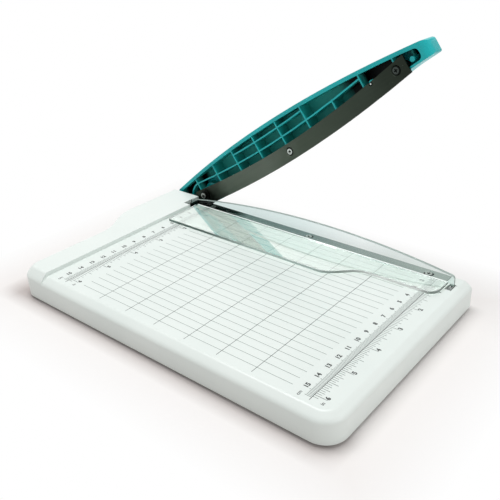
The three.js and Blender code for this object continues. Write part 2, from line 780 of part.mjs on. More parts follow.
// Screws of the blade lie flush in its face, so that it passes the strip.
function bladeScrewForm(grow) {
  return turned(countersunkProfile(bladeScrewHeadRadius, bladeThickness, bladeScrewRadius,
    bladeScrewLength, grow)).rotateX(Math.PI);
}

function bladeOutline() {
  const shape = new THREE.Shape();
  shape.moveTo(bladeHeelRadius - bladeHeel, -bladeStartLow);
  shape.lineTo(bladeStart, -bladeStartLow);
  shape.quadraticCurveTo((bladeStart + bladeEnd) / 2, -bladeBelly, bladeEnd, -bladeEndLow);
  shape.lineTo(bladeEnd, bladeEndTop);
  shape.quadraticCurveTo(bladeEnd / 2, -bladeTopMiddle, 0, bladeTopStart);
  shape.lineTo(bladeHeelCorner - bladeHeel, bladeHeelTop);
  shape.quadraticCurveTo(-bladeHeel, bladeHeelTop, -bladeHeel, bladeHeelTop - bladeHeelCorner);
  shape.lineTo(-bladeHeel, bladeHeelRadius - bladeStartLow);
  shape.quadraticCurveTo(-bladeHeel, -bladeStartLow, bladeHeelRadius - bladeHeel, -bladeStartLow);
  return shape;
}

function makeCuttingBlade() {
  let blade = sidePlate(bladeOutline(), 0, bladeThickness);
  blade = blade.subtract(at(rod(boltRadius + clearance, -overrun, bladeThickness + overrun), 0, 0, 0));
  blade = blade.subtract(at(rod(pinRadius + clearance, -overrun, bladeThickness + overrun),
    pinOut, 0, pinHigh));
  for (const [x, z] of [midScrewPlace, tipScrewPlace]) {
    blade = blade.subtract(at(bladeScrewForm(clearance), x, 0, z));
  }
  return blade;
}

function makeBladePin() {
  return rod(pinRadius, 0, pinLength).translate(pinOut, 0, pinHigh);
}

function makeBladeScrew([x, z]) {
  return bladeScrewForm(0).translate(x, 0, z);
}

// Bolt, washers and nut on the pivot's axis
const recessFloor = armFar - hubRecessDepth;
const washerNear = recessFloor + clearance;
const springWasherNear = washerNear + washerThickness + clearance;
const nutNear = springWasherNear + springWasherThickness + clearance;

function makePivotBolt() {
  const head = earNear - clearance;
  const crown = head - boltHeadHeight;
  return turned([[0, crown - boltHeadCrown], [boltHeadRadius / 2, crown - boltHeadCrown],
    [boltHeadRadius, crown], [boltHeadRadius, head], [boltRadius, head],
    [boltRadius, nutNear + nutThickness], [0, nutNear + nutThickness]])
    .translate(pivotOut, 0, pivotHeight);
}

function makeRing(outerRadius, near, thickness) {
  return at(rod(outerRadius, near, near + thickness), pivotOut, 0, pivotHeight)
    .subtract(pivotHole(near, thickness));
}

function makePivotNut() {
  const cornerRadius = nutWidth / Math.sqrt(3);
  const hexagon = new THREE.CylinderGeometry(cornerRadius, cornerRadius, nutThickness, nutSides);
  return at(hexagon, pivotOut, nutNear + nutThickness / 2, pivotHeight)
    .subtract(pivotHole(nutNear, nutThickness));
}

// Assembly

const trimmer = new THREE.Group();

function addBase() {
  trimmer.add(piece('base_cover', makeBaseCover(), whitePlastic));
  trimmer.add(piece('base_plate', makeBasePlate(), greyPlate));
  bossPlaces.forEach(([x, y], index) => {
    trimmer.add(piece(`base_screw_${index + 1}`, makeBaseScrew(x, y), zincSteel));
  });
  footPlaces.forEach(([x, y], index) => {
    trimmer.add(piece(`foot_${index + 1}`, makeFoot(x, y), footRubber));
  });
  trimmer.add(piece('bed_strip', makeBedStrip(), stripSteel));
  stripScrewPlaces.forEach((x, index) => {
    trimmer.add(piece(`bed_screw_${index + 1}`, makeBedScrew(x), zincSteel));
  });
}

function addPivot() {
  trimmer.add(piece('pivot_bracket', makePivotBracket(), bladeSteel));
  bracketScrewPlaces.forEach(([x, y], index) => {
    trimmer.add(piece(`bracket_screw_${index + 1}`, makeBracketScrew(x, y), zincSteel));
  });
  trimmer.add(piece('pivot_bolt', makePivotBolt(), bladeSteel));
  trimmer.add(piece('pivot_washer', makeRing(washerRadius, washerNear, washerThickness), zincSteel));
  trimmer.add(piece('spring_washer',
    makeRing(springWasherRadius, springWasherNear, springWasherThickness), bladeSteel));
  trimmer.add(piece('pivot_nut', makePivotNut(), zincSteel));
}

function addArm() {
  const arm = new THREE.Group();
  arm.add(piece('arm_shell', makeArmShell(), tealPlastic));
  arm.add(piece('cutting_blade', makeCuttingBlade(), bladeSteel));
  arm.add(piece('blade_screw_mid', makeBladeScrew(midScrewPlace), zincSteel));
  arm.add(piece('blade_screw_tip', makeBladeScrew(tipScrewPlace), zincSteel));
  arm.add(piece('blade_pin', makeBladePin(), zincSteel));
  arm.position.set(pivotOut, 0, pivotHeight);
  arm.rotation.y = -THREE.MathUtils.degToRad(armRaise);
  trimmer.add(arm);
}

addBase();
addPivot();
trimmer.add(piece('guard', makeGuard(), clearPlastic));
addArm();

// The origin goes to the middle of the footprint: from the housing's side to the far wall, and
// from the front wall to the arm's outer face.
trimmer.position.set((housingWidth - boardLength) / 2, (boardDepth - armFar) / 2, 0);

export default trimmer;
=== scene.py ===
# %% [markdown]
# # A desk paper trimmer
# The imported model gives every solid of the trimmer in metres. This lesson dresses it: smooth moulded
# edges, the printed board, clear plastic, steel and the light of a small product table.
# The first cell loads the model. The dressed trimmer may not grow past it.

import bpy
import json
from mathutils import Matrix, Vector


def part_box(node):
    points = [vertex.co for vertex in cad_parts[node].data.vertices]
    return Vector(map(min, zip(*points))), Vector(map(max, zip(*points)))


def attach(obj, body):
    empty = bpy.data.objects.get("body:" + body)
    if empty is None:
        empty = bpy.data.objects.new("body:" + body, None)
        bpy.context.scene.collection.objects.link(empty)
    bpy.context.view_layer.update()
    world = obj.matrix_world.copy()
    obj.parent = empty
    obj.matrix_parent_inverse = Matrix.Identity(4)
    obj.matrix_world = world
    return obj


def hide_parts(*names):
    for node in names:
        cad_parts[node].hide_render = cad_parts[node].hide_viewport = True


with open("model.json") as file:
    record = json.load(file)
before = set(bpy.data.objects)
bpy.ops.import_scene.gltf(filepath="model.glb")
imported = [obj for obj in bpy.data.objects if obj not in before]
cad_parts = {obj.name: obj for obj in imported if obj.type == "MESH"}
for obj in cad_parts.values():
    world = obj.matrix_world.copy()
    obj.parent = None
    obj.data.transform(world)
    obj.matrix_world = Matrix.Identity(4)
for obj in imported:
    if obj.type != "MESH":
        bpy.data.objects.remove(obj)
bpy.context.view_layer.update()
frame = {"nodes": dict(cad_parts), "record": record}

# %% [markdown]
# The trimmer is drawn in millimetres from the corner where the paper stop meets the cut. These
# helpers turn such places into metres in the model's own frame, and make mesh objects from them.

# %% Places and meshes
import json
import math

import bmesh
import bpy
from mathutils import Matrix, Vector
from mathutils.bvhtree import BVHTree

MM = 0.001
STOP_X = -98.75     # the paper stop in the model's frame, mm
CUT_Y = 74.95       # the plane of the cut in the model's frame, mm
BOARD_Z = 20.0      # the board above the table, mm


def place(x, y, z=BOARD_Z):
    """A point measured from the stop and the cut, in metres in the model's frame."""
    return Vector(((x + STOP_X) * MM, (y + CUT_Y) * MM, z * MM))


def mesh_object(name, bm):
    mesh = bpy.data.meshes.new(name)
    bm.to_mesh(mesh)
    bm.free()
    made = bpy.data.objects.new(name, mesh)
    bpy.context.scene.collection.objects.link(made)
    return made


def settle(made):
    """The object's modifiers become plain mesh, and the object gets that mesh."""
    graph = bpy.context.evaluated_depsgraph_get()
    solid = bpy.data.meshes.new_from_object(made.evaluated_get(graph), depsgraph=graph)
    made.modifiers.clear()
    made.data = solid
    return made


def report(made):
    print(made.name, "has", len(made.data.polygons), "faces")


print("paper stop at X", STOP_X, "mm, cut at Y", CUT_Y, "mm, board", BOARD_Z, "mm up")

# %% [markdown]
# The camera stands at the front right, as in the photograph. Its place, turn and focal length come
# from the board's printed inch grid: 34 crossings of its lines were fitted to their pixels. It
# could be set by eye, but only a fitted camera lets an outline be laid over the photograph.

# %% Camera
CAMERA_PLACE = Vector((0.26495, -0.29485, 0.2396))
CAMERA_AZIMUTH = math.radians(40.42)
CAMERA_HEIGHT = math.radians(27.49)
CAMERA_ROLL = math.radians(-2.42)
FOCAL_LENGTH = 47.15

back = Vector((math.sin(CAMERA_AZIMUTH) * math.cos(CAMERA_HEIGHT),
               -math.cos(CAMERA_AZIMUTH) * math.cos(CAMERA_HEIGHT),
               math.sin(CAMERA_HEIGHT)))
level = Vector((0, 0, 1)).cross(back).normalized()
upward = back.cross(level)
right = math.cos(CAMERA_ROLL) * level + math.sin(CAMERA_ROLL) * upward
up = math.cos(CAMERA_ROLL) * upward - math.sin(CAMERA_ROLL) * level

camera_data = bpy.data.cameras.new("camera")
camera_data.sensor_width = 36
camera_data.lens = FOCAL_LENGTH
camera_data.clip_start = 0.01
camera_data.clip_end = 20
camera = bpy.data.objects.new("camera", camera_data)
bpy.context.scene.collection.objects.link(camera)
turn = Matrix((right, up, back)).transposed().to_4x4()
camera.matrix_world = Matrix.Translation(CAMERA_PLACE) @ turn
bpy.context.scene.camera = camera
print("camera at", tuple(round(v, 4) for v in CAMERA_PLACE))

# %% [markdown]
# Node trees make the finishes, the print and the screws. A node is added with its values and links
# in one call, which keeps each tree short enough to read.

# %% Helpers for node trees


def feed(tree, socket, value):
    """Links the value if it is another node's output, or else sets it."""
    if isinstance(value, bpy.types.NodeSocket):
        tree.links.new(value, socket)
    else:
        socket.default_value = value


def add_node(tree, kind, inputs=None, **settings):
    node = tree.nodes.new(kind)
    for key, value in settings.items():
        setattr(node, key, value)
    for socket, value in (inputs or {}).items():
        feed(tree, node.inputs[socket], value)
    return node


def maths(tree, operation, first, second=0.0):
    return add_node(tree, "ShaderNodeMath", {0: first, 1: second}, operation=operation).outputs[0]


print("helpers for node trees ready")

# %% [markdown]
# Every finish is made of shader nodes that read Object coordinates, so a pattern stays on its piece
# from every side. A finish starts as one plain shader. Its colours are written as they look on a
# screen, and a pattern of noise can be laid through the piece.

# %% Helpers for finishes


def finish(name, roughness=0.5, metallic=0.0, gloss=0.5):
    material = bpy.data.materials.new(name)
    material.use_nodes = True
    shader = material.node_tree.nodes["Principled BSDF"]
    shader.inputs["Roughness"].default_value = roughness
    shader.inputs["Metallic"].default_value = metallic
    shader.inputs["Specular IOR Level"].default_value = gloss
    return material, shader


def linear(red, green, blue):
    """A colour written as 0 to 255 on the screen, as the shader needs it."""
    tones = [v / 255 for v in (red, green, blue)]
    return tuple(v / 12.92 if v < 0.04045 else ((v + 0.055) / 1.055) ** 2.4 for v in tones) + (1.0,)


def noise(material, scale, stretch=(1, 1, 1), turn=(0, 0, 0), detail=3.0):
    """A noise pattern on the piece. Scale counts its grains in a metre."""
    tree = material.node_tree
    where = add_node(tree, "ShaderNodeTexCoord")
    mapping = add_node(tree, "ShaderNodeMapping", {"Vector": where.outputs["Object"], "Rotation": turn,
                                                   "Scale": stretch}, vector_type="TEXTURE")
    pattern = add_node(tree, "ShaderNodeTexNoise", {"Vector": mapping.outputs["Vector"], "Scale": scale,
                                                    "Detail": detail})
    return pattern.outputs["Fac"]


def dress(made, *materials):
    made.data.materials.clear()
    for material in materials:
        made.data.materials.append(material)
    return made


print("half of the screen's white is this part of its light:", round(linear(128, 128, 128)[0], 3))

# %% [markdown]
# A pattern, or a place on the piece, can then drive a colour that drifts between two tones, a
# roughness that changes from place to place, and a fine bump. Most values of a noise pattern lie
# between 0.3 and 0.7, so that range is stretched to the one that is wanted.

# %% Helpers for changes over a piece
NOISE_SPAN = (0.3, 0.7)


def own_axes(tree):
    """X, Y and Z of a point on the piece, in metres."""
    where = add_node(tree, "ShaderNodeTexCoord").outputs["Object"]
    return add_node(tree, "ShaderNodeSeparateXYZ", {"Vector": where}).outputs


def tones(material, value, stops):
    """A colour ramp from (position, colour) stops."""
    ramp = add_node(material.node_tree, "ShaderNodeValToRGB", {"Fac": value})
    points = ramp.color_ramp.elements
    while len(points) < len(stops):
        points.new(0.5)
    for point, (position, colour) in zip(points, stops):
        point.position = position
        point.color = colour
    return ramp.outputs["Color"]


def drift(material, shader, pattern, low, high):
    """The colour runs from one tone to another as the pattern does."""
    colour = tones(material, pattern, [(NOISE_SPAN[0], low), (NOISE_SPAN[1], high)])
    feed(material.node_tree, shader.inputs["Base Color"], colour)


def span(material, value, old, new):
    """Carries a value from one range to another."""
    reach = add_node(material.node_tree, "ShaderNodeMapRange",
                     {"Value": value, "From Min": old[0], "From Max": old[1], "To Min": new[0],
                      "To Max": new[1]})
    return reach.outputs["Result"]


def sway(material, pattern, reach):
    """The pattern as a value that lies as far below nought as above it."""
    return span(material, pattern, NOISE_SPAN, (-reach, reach))


def vary_roughness(material, shader, pattern, low, high):
    roughness = span(material, pattern, NOISE_SPAN, (low, high))
    feed(material.node_tree, shader.inputs["Roughness"], roughness)


def bump(material, shader, pattern, strength, depth):
    relief = add_node(material.node_tree, "ShaderNodeBump",
                      {"Height": pattern, "Strength": strength, "Distance": depth})
    feed(material.node_tree, shader.inputs["Normal"], relief.outputs["Normal"])


print("noise is stretched from", NOISE_SPAN)

# %% [markdown]
# The base is moulded in a pale greenish white with a satin skin. A very fine grain catches the
# light, and slow changes of tone keep the large faces from looking flat. Pictures could give both,
# but noise has no seams and stays sharp close up. The closing plate underneath isn't in view in
# the photograph, so it gets a plain, duller grey.

# %% White and grey moulded plastic
white_plastic, shader = finish("white_plastic", 0.34)
drift(white_plastic, shader, noise(white_plastic, 18), linear(228, 236, 232), linear(233, 240, 236))
vary_roughness(white_plastic, shader, noise(white_plastic, 90), 0.28, 0.38)
bump(white_plastic, shader, noise(white_plastic, 2600, detail=2), 0.12, 0.02 * MM)

plate_plastic, shader = finish("plate_plastic", 0.6)
drift(plate_plastic, shader, noise(plate_plastic, 30), linear(196, 203, 200), linear(204, 210, 207))
bump(plate_plastic, shader, noise(plate_plastic, 1800), 0.3, 0.04 * MM)
print("white and grey plastic made")

# %% [markdown]
# The arm is moulded in teal. Its gloss varies a little, as it does on plastic that is handled. In
# the photograph the hollow gets darker away from the open side, and it is nearly black at both
# ends, where the walls stand close together. Lamps alone would light the pockets too evenly, so
# the hollow's colour carries painted shade: it darkens with the depth, much more at both ends, with
# faint patches. The depth is the piece's own Y, so the painted shade stays with the arm when it
# swings.

# %% Teal moulded plastic
PIVOT = place(2.6, 0, 26.0)
ARM_RAISE = math.radians(36)
ARM_FACE = 1.9 + CUT_Y      # the arm's open side in the model's frame, mm
TEAL = (linear(10, 174, 177), linear(18, 187, 191))
# Painted shade in the hollow: it darkens with depth, and more towards the tail and the tip.
TAIL_SPAN = (0.004, -0.006)      # along the arm, m: the hollow gets dark towards the tail here
TIP_SPAN = (0.158, 0.172)        # and towards the tip here
POCKET_SPAN = (0.0006, 0.0105)   # depths behind the open side, m, over which the colour sinks
POCKET_SINK = 0.3
END_SINK = 2.4                   # how much further it sinks at both ends
PATCH_SINK = 0.05

teal_plastic, shader = finish("teal_plastic", 0.32, gloss=0.35)
drift(teal_plastic, shader, noise(teal_plastic, 40), *TEAL)
vary_roughness(teal_plastic, shader, noise(teal_plastic, 160), 0.24, 0.36)
bump(teal_plastic, shader, noise(teal_plastic, 2200, detail=2), 0.15, 0.02 * MM)


def along_arm(material):
    """How far a point is along the arm from the pivot, in metres, and its depth behind the open side."""
    tree = material.node_tree
    axes = own_axes(tree)
    far = maths(tree, "MULTIPLY", maths(tree, "SUBTRACT", axes["X"], PIVOT.x), math.cos(ARM_RAISE))
    high = maths(tree, "MULTIPLY", maths(tree, "SUBTRACT", axes["Z"], PIVOT.z), math.sin(ARM_RAISE))
    return maths(tree, "ADD", far, high), maths(tree, "SUBTRACT", axes["Y"], ARM_FACE * MM)


# The hollow's teal with painted shade, darker with depth and nearly black at both ends.
teal_hollow_shaded, shader = finish("teal_hollow_shaded", 0.5, gloss=0.15)
out, depth = along_arm(teal_hollow_shaded)
tree = teal_hollow_shaded.node_tree
tail_end = span(teal_hollow_shaded, out, TAIL_SPAN, (0.0, 1.0))
tip_end = span(teal_hollow_shaded, out, TIP_SPAN, (0.0, 1.0))
closeness = maths(tree, "MAXIMUM", tail_end, tip_end)
sink = span(teal_hollow_shaded, depth, POCKET_SPAN, (0.0, POCKET_SINK))
patches = sway(teal_hollow_shaded, noise(teal_hollow_shaded, 75, detail=1), PATCH_SINK)
at_ends = maths(tree, "MULTIPLY", sink, maths(tree, "MULTIPLY", closeness, END_SINK))
sink = maths(tree, "ADD", maths(tree, "ADD", sink, at_ends), patches)
feed(tree, shader.inputs["Base Color"],
     tones(teal_hollow_shaded, sink, [(0.0, linear(22, 172, 170)), (0.14, linear(38, 166, 161)),
                               (0.34, linear(64, 178, 170)), (0.8, linear(3, 9, 9))]))
bump(teal_hollow_shaded, shader, noise(teal_hollow_shaded, 2200, detail=2), 0.15, 0.02 * MM)
print("teal plastic made")

# %% [markdown]
# The guard is clear plastic, taken to be acrylic. Real light goes through it to the board, so rays
# from the lamps pass it with a faint tint, and every other ray sees true glass with its own bending
# and gloss. The flange has a hard coat that mirrors the arm. The upright wall bends the light less
# than acrylic does, so the strip shows behind it, and its tint carries painted light, lighter and
# darker in stretches along the cut. The sawn edges, the crest of the arch and the fillet in the bend
# are rough and only partly clear, which makes them read as soft grey or white lines. The tone of the
# sawn edges carries painted light and shade along the cut, and the fillet's near-white is a painted
# highlight.

# %% Clear plastic
CUT_SPAN = 230.0            # how far from the paper stop the tints change, mm


def show_mix(tree, share, first, second, output="Material Output"):
    """Mixes two shaders by the share, and shows the mix."""
    mix = add_node(tree, "ShaderNodeMixShader", {0: share, 1: first, 2: second})
    feed(tree, tree.nodes[output].inputs["Surface"], mix.outputs["Shader"])


def clear(name, roughness, shade_tone, tone=None, bending=1.49, clearness=1.0, waviness=0.02):
    """Clear plastic. The tone is left out where the colour follows the cut."""
    made, made_shader = finish(name, roughness)
    if tone:
        made_shader.inputs["Base Color"].default_value = linear(*tone)
    made_shader.inputs["Transmission Weight"].default_value = clearness
    made_shader.inputs["IOR"].default_value = bending
    bump(made, made_shader, noise(made, 60, detail=1), waviness, 0.05 * MM)
    tree = made.node_tree
    through = add_node(tree, "ShaderNodeBsdfTransparent", {"Color": linear(*shade_tone)})
    rays = add_node(tree, "ShaderNodeLightPath")
    show_mix(tree, rays.outputs["Is Shadow Ray"], made_shader.outputs["BSDF"], through.outputs["BSDF"])
    return made, made_shader


def fade_along_cut(material, shader, stops):
    """The colour follows the place along the cut, in parts of CUT_SPAN from the paper stop."""
    axes = own_axes(material.node_tree)
    reach = span(material, axes["X"], (STOP_X * MM, (STOP_X + CUT_SPAN) * MM), (0.0, 1.0))
    feed(material.node_tree, shader.inputs["Base Color"], tones(material, reach, stops))


clear_plastic, shader = clear("clear_plastic", 0.005, (246, 249, 247), (219, 223, 221), waviness=0.004)
shader.inputs["Coat Weight"].default_value = 1.0
shader.inputs["Coat Roughness"].default_value = 0.005
shader.inputs["Coat IOR"].default_value = 2.0

clear_wall, shader = clear("clear_wall", 0.03, (246, 250, 249), bending=1.15)
# Painted light: the wall's tint is lighter and darker in stretches along the cut.
fade_along_cut(clear_wall, shader, [(0.3, linear(217, 231, 230)), (0.45, linear(222, 236, 235)),
                                    (0.7, linear(240, 247, 246)), (0.8, linear(230, 239, 237))])

clear_crest, shader = clear("clear_crest", 0.45, (160, 174, 169), (166, 180, 175), clearness=0.45)
# A painted highlight: the fillet's near-white, mostly frosted finish.
fillet_painted_highlight, shader = clear("fillet_painted_highlight", 0.4, (246, 249, 247), (247, 251, 249), clearness=0.2)
clear_edge, shader = clear("clear_edge", 0.45, (150, 165, 159), clearness=0.4)
# Painted light and shade on the sawn edges: dark beside the hinge, pale in the middle, grey at the arch,
# near white further on and dark at the far end.
fade_along_cut(clear_edge, shader, [(0.2, linear(100, 124, 116)), (0.4, linear(226, 246, 240)),
                                    (0.62, linear(226, 246, 240)), (0.7, linear(176, 190, 183)),
                                    (0.8, linear(252, 254, 252)), (0.93, linear(252, 254, 252)),
                                    (0.965, linear(120, 132, 126))])
print("clear plastic made")

# %% [markdown]
# The blade is dark steel with grinding marks along its length, which are a noise stretched in one
# direction. In the photograph the blade and its screws get darker towards the tip, so their colours
# carry painted shade along the arm: the blade is dark beside the pivot, palest a little way out and
# darker again towards the tip, and the screw at the tip is darker than the middle one. One tone all
# along would leave the tip too bright.

# %% Steel on the arm
ARM_LENGTH = 0.24           # m
ARM_WAVER = 0.035           # how far the change of tone wavers, in parts of the arm's length


def fade_along_arm(material, shader, stops):
    """The colour follows the place along the arm, in parts of its length, and wavers a little."""
    place_out = span(material, along_arm(material)[0], (0.0, ARM_LENGTH), (0.0, 1.0))
    reach = maths(material.node_tree, "ADD", place_out, sway(material, noise(material, 40), ARM_WAVER))
    feed(material.node_tree, shader.inputs["Base Color"], tones(material, reach, stops))


blade_steel, shader = finish("blade_steel", 0.4, 1.0)
marks = noise(blade_steel, 900, stretch=(60, 1, 1), turn=(0, -ARM_RAISE, 0))
# Painted shade along the blade: dark at the pivot, palest a little way out, darkest at the tip.
fade_along_arm(blade_steel, shader, [(0.03, linear(44, 50, 43)), (0.12, linear(90, 99, 89)),
                                     (0.32, linear(96, 104, 95)), (0.48, linear(73, 82, 72)),
                                     (0.74, linear(56, 64, 56)), (0.96, linear(33, 38, 32))])
vary_roughness(blade_steel, shader, marks, 0.34, 0.5)
bump(blade_steel, shader, marks, 0.12, 0.01 * MM)

arm_zinc_shaded, shader = finish("arm_zinc_shaded", 0.32, 1.0)
# Painted shade: the screw near the tip is made darker than the middle one.
fade_along_arm(arm_zinc_shaded, shader, [(0.5, linear(196, 202, 198)), (0.8, linear(84, 91, 87)),
                                  (0.9, linear(58, 64, 61))])
bump(arm_zinc_shaded, shader, noise(arm_zinc_shaded, 3000), 0.1, 0.01 * MM)
print("steel on the arm made")

# %% [markdown]
# The strip is polished, so it mirrors the guard and the sky. Its colour also carries painted shade
# and reflection: near black beside the hinge and paler towards the far end. The screws are taken
# to be zinc-plated. The cross and the rim of each head are painted black as shade in the recess and
# in the gap around the head, where the photograph shows dark marks.

# %% Steel on the base
STRIP_SPAN = (-0.105, 0.125)    # X over which the strip's tone changes, m
STRIP_WAVER = 0.02

strip_steel, shader = finish("strip_steel", 0.13, 1.0)
shader.inputs["Specular Tint"].default_value = linear(188, 188, 188)
tree = strip_steel.node_tree
marks = noise(strip_steel, 1500, stretch=(80, 1, 1))
# Painted shade and reflection: the strip is near black beside the hinge and paler along the cut.
reach = span(strip_steel, own_axes(tree)["X"], STRIP_SPAN, (0.0, 1.0))
reach = maths(tree, "ADD", reach, sway(strip_steel, marks, STRIP_WAVER))
feed(tree, shader.inputs["Base Color"],
     tones(strip_steel, reach, [(0.2, linear(32, 52, 45)), (0.25, linear(122, 142, 137)),
                                (0.5, linear(142, 156, 153)), (0.95, linear(184, 192, 187))]))
vary_roughness(strip_steel, shader, marks, 0.1, 0.18)
bump(strip_steel, shader, noise(strip_steel, 3600, stretch=(30, 1, 1)), 0.1, 0.02 * MM)

zinc_steel, shader = finish("zinc_steel", 0.3, 1.0)
drift(zinc_steel, shader, noise(zinc_steel, 500), linear(178, 184, 179), linear(204, 208, 204))
vary_roughness(zinc_steel, shader, noise(zinc_steel, 900), 0.22, 0.4)
bump(zinc_steel, shader, noise(zinc_steel, 3000), 0.1, 0.01 * MM)

# Black for painted shade: the sunk rim and cross of each screw, and the bracket under the hinge.
black_painted_shade, shader = finish("black_painted_shade", 0.5, 1.0)
drift(black_painted_shade, shader, noise(black_painted_shade, 700), linear(20, 24, 22), linear(34, 38, 35))
bump(black_painted_shade, shader, noise(black_painted_shade, 2600), 0.15, 0.01 * MM)
print("steel on the base made")

# %% [markdown]
# Only a dark gap shows under the base, so the feet are taken to be matt rubber. The board's print is
# ink: pale grey for the close lines, darker for the inch lines and the rulers, and nearly black for
# the numbers. It could be a part of the board's own finish, but as thin pieces with finishes of
# their own the lines stay crisp.

# %% Rubber and ink
foot_rubber, shader = finish("foot_rubber", 0.85)
drift(foot_rubber, shader, noise(foot_rubber, 300), linear(30, 31, 32), linear(44, 45, 46))
bump(foot_rubber, shader, noise(foot_rubber, 2500), 0.5, 0.05 * MM)

INK_WEAR = 14               # how much paler worn ink is, of 255


def ink(name, tone):
    made, made_shader = finish(name, 0.5)
    worn = tuple(v + INK_WEAR for v in tone)
    drift(made, made_shader, noise(made, 350), linear(*tone), linear(*worn))
    return made


pale_ink = ink("pale_ink", (138, 150, 144))
dark_ink = ink("dark_ink", (92, 102, 98))
black_ink = ink("black_ink", (28, 32, 31))
print("rubber and inks made")

# %% [markdown]
# The board, rim and housing are one moulding. Its edge is a slope that turns into the wall on a
# soft round. The outline is drawn once and set in by each step of the edge's profile, which gives
# rings of points that are joined into a closed skin. A box with a bevel would be quicker, but a
# bevel is round all over, and this edge has a flat slope between two rounds.

# %% Outline of the base
BOARD_LENGTH = 237.5
BOARD_DEPTH = 165.8
RIM_WIDTH = 25.0
HOUSING_WIDTH = 40.0
HOUSING_DEPTH = 52.0
HOUSING_SWEEP = 44.0
SWEEP_SHARE = 0.45
FRONT_CORNER = 14.0
STOP_CORNER = 12.0
HOUSING_CORNER = 13.0
PAST_CUT = 9.8
CUT_INSET = 1.0
WALL_FOOT = 2.0
COVER_WALL = 2.4
CORNER_STEPS = 14
SWEEP_STEPS = 28


def arc(x, y, radius, start, end):
    turns = [math.radians(start + (end - start) * i / CORNER_STEPS) for i in range(CORNER_STEPS + 1)]
    return [(x + radius * math.cos(t), y + radius * math.sin(t)) for t in turns]


def bezier(a, b, c, d, steps):
    points = []
    for i in range(steps + 1):
        t = i / steps
        shares = ((1 - t) ** 3, 3 * t * (1 - t) ** 2, 3 * t * t * (1 - t), t ** 3)
        points.append(tuple(sum(s * p[k] for s, p in zip(shares, (a, b, c, d))) for k in (0, 1)))
    return points


def base_outline(inset):
    sweep_low = -(HOUSING_DEPTH + HOUSING_SWEEP)
    run = HOUSING_SWEEP * SWEEP_SHARE
    housing_side = inset - HOUSING_WIDTH
    rim_side = inset - RIM_WIDTH
    return (
        arc(STOP_CORNER - RIM_WIDTH, STOP_CORNER - BOARD_DEPTH, STOP_CORNER - inset, 180, 270)
        + arc(BOARD_LENGTH - FRONT_CORNER, FRONT_CORNER - BOARD_DEPTH, FRONT_CORNER - inset, 270, 360)
        + [(BOARD_LENGTH - inset, PAST_CUT - inset)]
        + arc(HOUSING_CORNER - HOUSING_WIDTH, PAST_CUT - HOUSING_CORNER, HOUSING_CORNER - inset, 90, 180)
        + bezier((housing_side, -HOUSING_DEPTH), (housing_side, -HOUSING_DEPTH - run),
                 (rim_side, sweep_low + run), (rim_side, sweep_low), SWEEP_STEPS))


print("outline points:", len(base_outline(0)))

# %% Skins from rings of points
SLOPE_INSET = 5.4
SLOPE_FOOT = 1.1
SLOPE_FOOT_DROP = 2.2
WALL_ROUND = 2.6
KNEE_RUN = 2.1
KNEE_STEPS = 7
CREST_RUN = 0.9             # the slope turns into the top from here
CREST_PAST = 1.0            # and is flat from here
CREST_STEPS = 5


def curve_between(a, b, c, steps):
    """Points on the soft curve that leaves a towards b and arrives at c."""
    points = []
    for i in range(steps + 1):
        t = i / steps
        shares = ((1 - t) ** 2, 2 * t * (1 - t), t * t)
        points.append(tuple(sum(s * p[k] for s, p in zip(shares, (a, b, c))) for k in (0, 1)))
    return points


def edge_profile(drop):
    """(inset, height under the top) up the wall, round onto the slope and over to the top."""
    pitch = drop / (SLOPE_INSET - SLOPE_FOOT)
    meet = -drop - pitch * SLOPE_FOOT
    wall, knee, slope = (0, -drop - WALL_ROUND), (0, meet), (KNEE_RUN, meet + pitch * KNEE_RUN)
    before, past = (SLOPE_INSET - CREST_RUN, -pitch * CREST_RUN), (SLOPE_INSET + CREST_PAST, 0)
    crest = curve_between(before, (SLOPE_INSET, 0), past, CREST_STEPS)
    return curve_between(wall, knee, slope, KNEE_STEPS) + crest


def skin(rings):
    """A closed mesh from rings of equally many points, the first at the bottom."""
    bm = bmesh.new()
    levels = [[bm.verts.new(place(x, y, z)) for x, y, z in ring] for ring in rings]
    for low, high in zip(levels, levels[1:]):
        for i in range(len(low)):
            j = (i + 1) % len(low)
            bm.faces.new((low[i], low[j], high[j], high[i]))
    bm.faces.new(levels[0][::-1])
    bm.faces.new(levels[-1])
    bmesh.ops.recalc_face_normals(bm, faces=bm.faces)
    return bm


print("steps of the edge:", len(edge_profile(SLOPE_FOOT_DROP)))

# %% [markdown]
# The board, the rim and the hollow underneath are such skins. A Boolean modifier then cuts one form
# from another, adds it, or keeps what both share.

# %% Forms of the base
DEEP = -40.0                # under everything, mm


def base_form(top, drop, low, name):
    rings = [[(x, y, low) for x, y in base_outline(0)]]
    for inset, height in edge_profile(drop):
        rings.append([(x, y, top + height) for x, y in base_outline(inset)])
    return mesh_object(name, skin(rings))


def shell_form(top, drop, name):
    """The hollow under a top: the same form set in by the wall, with a plain slope."""
    rings = []
    for inset, height in ((0, DEEP), (0, -drop - SLOPE_FOOT_DROP), (SLOPE_FOOT, -drop), (SLOPE_INSET, 0)):
        rings.append([(x, y, top - COVER_WALL + height) for x, y in base_outline(inset + COVER_WALL)])
    return mesh_object(name, skin(rings))


def box_form(x, y, z, name):
    bm = bmesh.new()
    bmesh.ops.create_cube(bm, size=1.0)
    for vert in bm.verts:
        share = [c + 0.5 for c in vert.co]
        vert.co = place(*(pair[0] + (pair[1] - pair[0]) * s for pair, s in zip((x, y, z), share)))
    return mesh_object(name, bm)


def join_form(target, tool, operation):
    """Cuts the tool from the target, adds it, or keeps what both share. The tool is removed."""
    cut = target.modifiers.new("cut", "BOOLEAN")
    cut.operation = operation
    cut.solver = "EXACT"
    cut.object = tool
    settle(target)
    bpy.data.objects.remove(tool)


print("forms of the base start", WALL_FOOT, "mm above the table")

# %% [markdown]
# No mould leaves a sharp edge, so a small bevel breaks each one, and it is what catches the light.
# Smooth shading alone would bend the light on the large faces too, so weighted normals keep them
# flat.

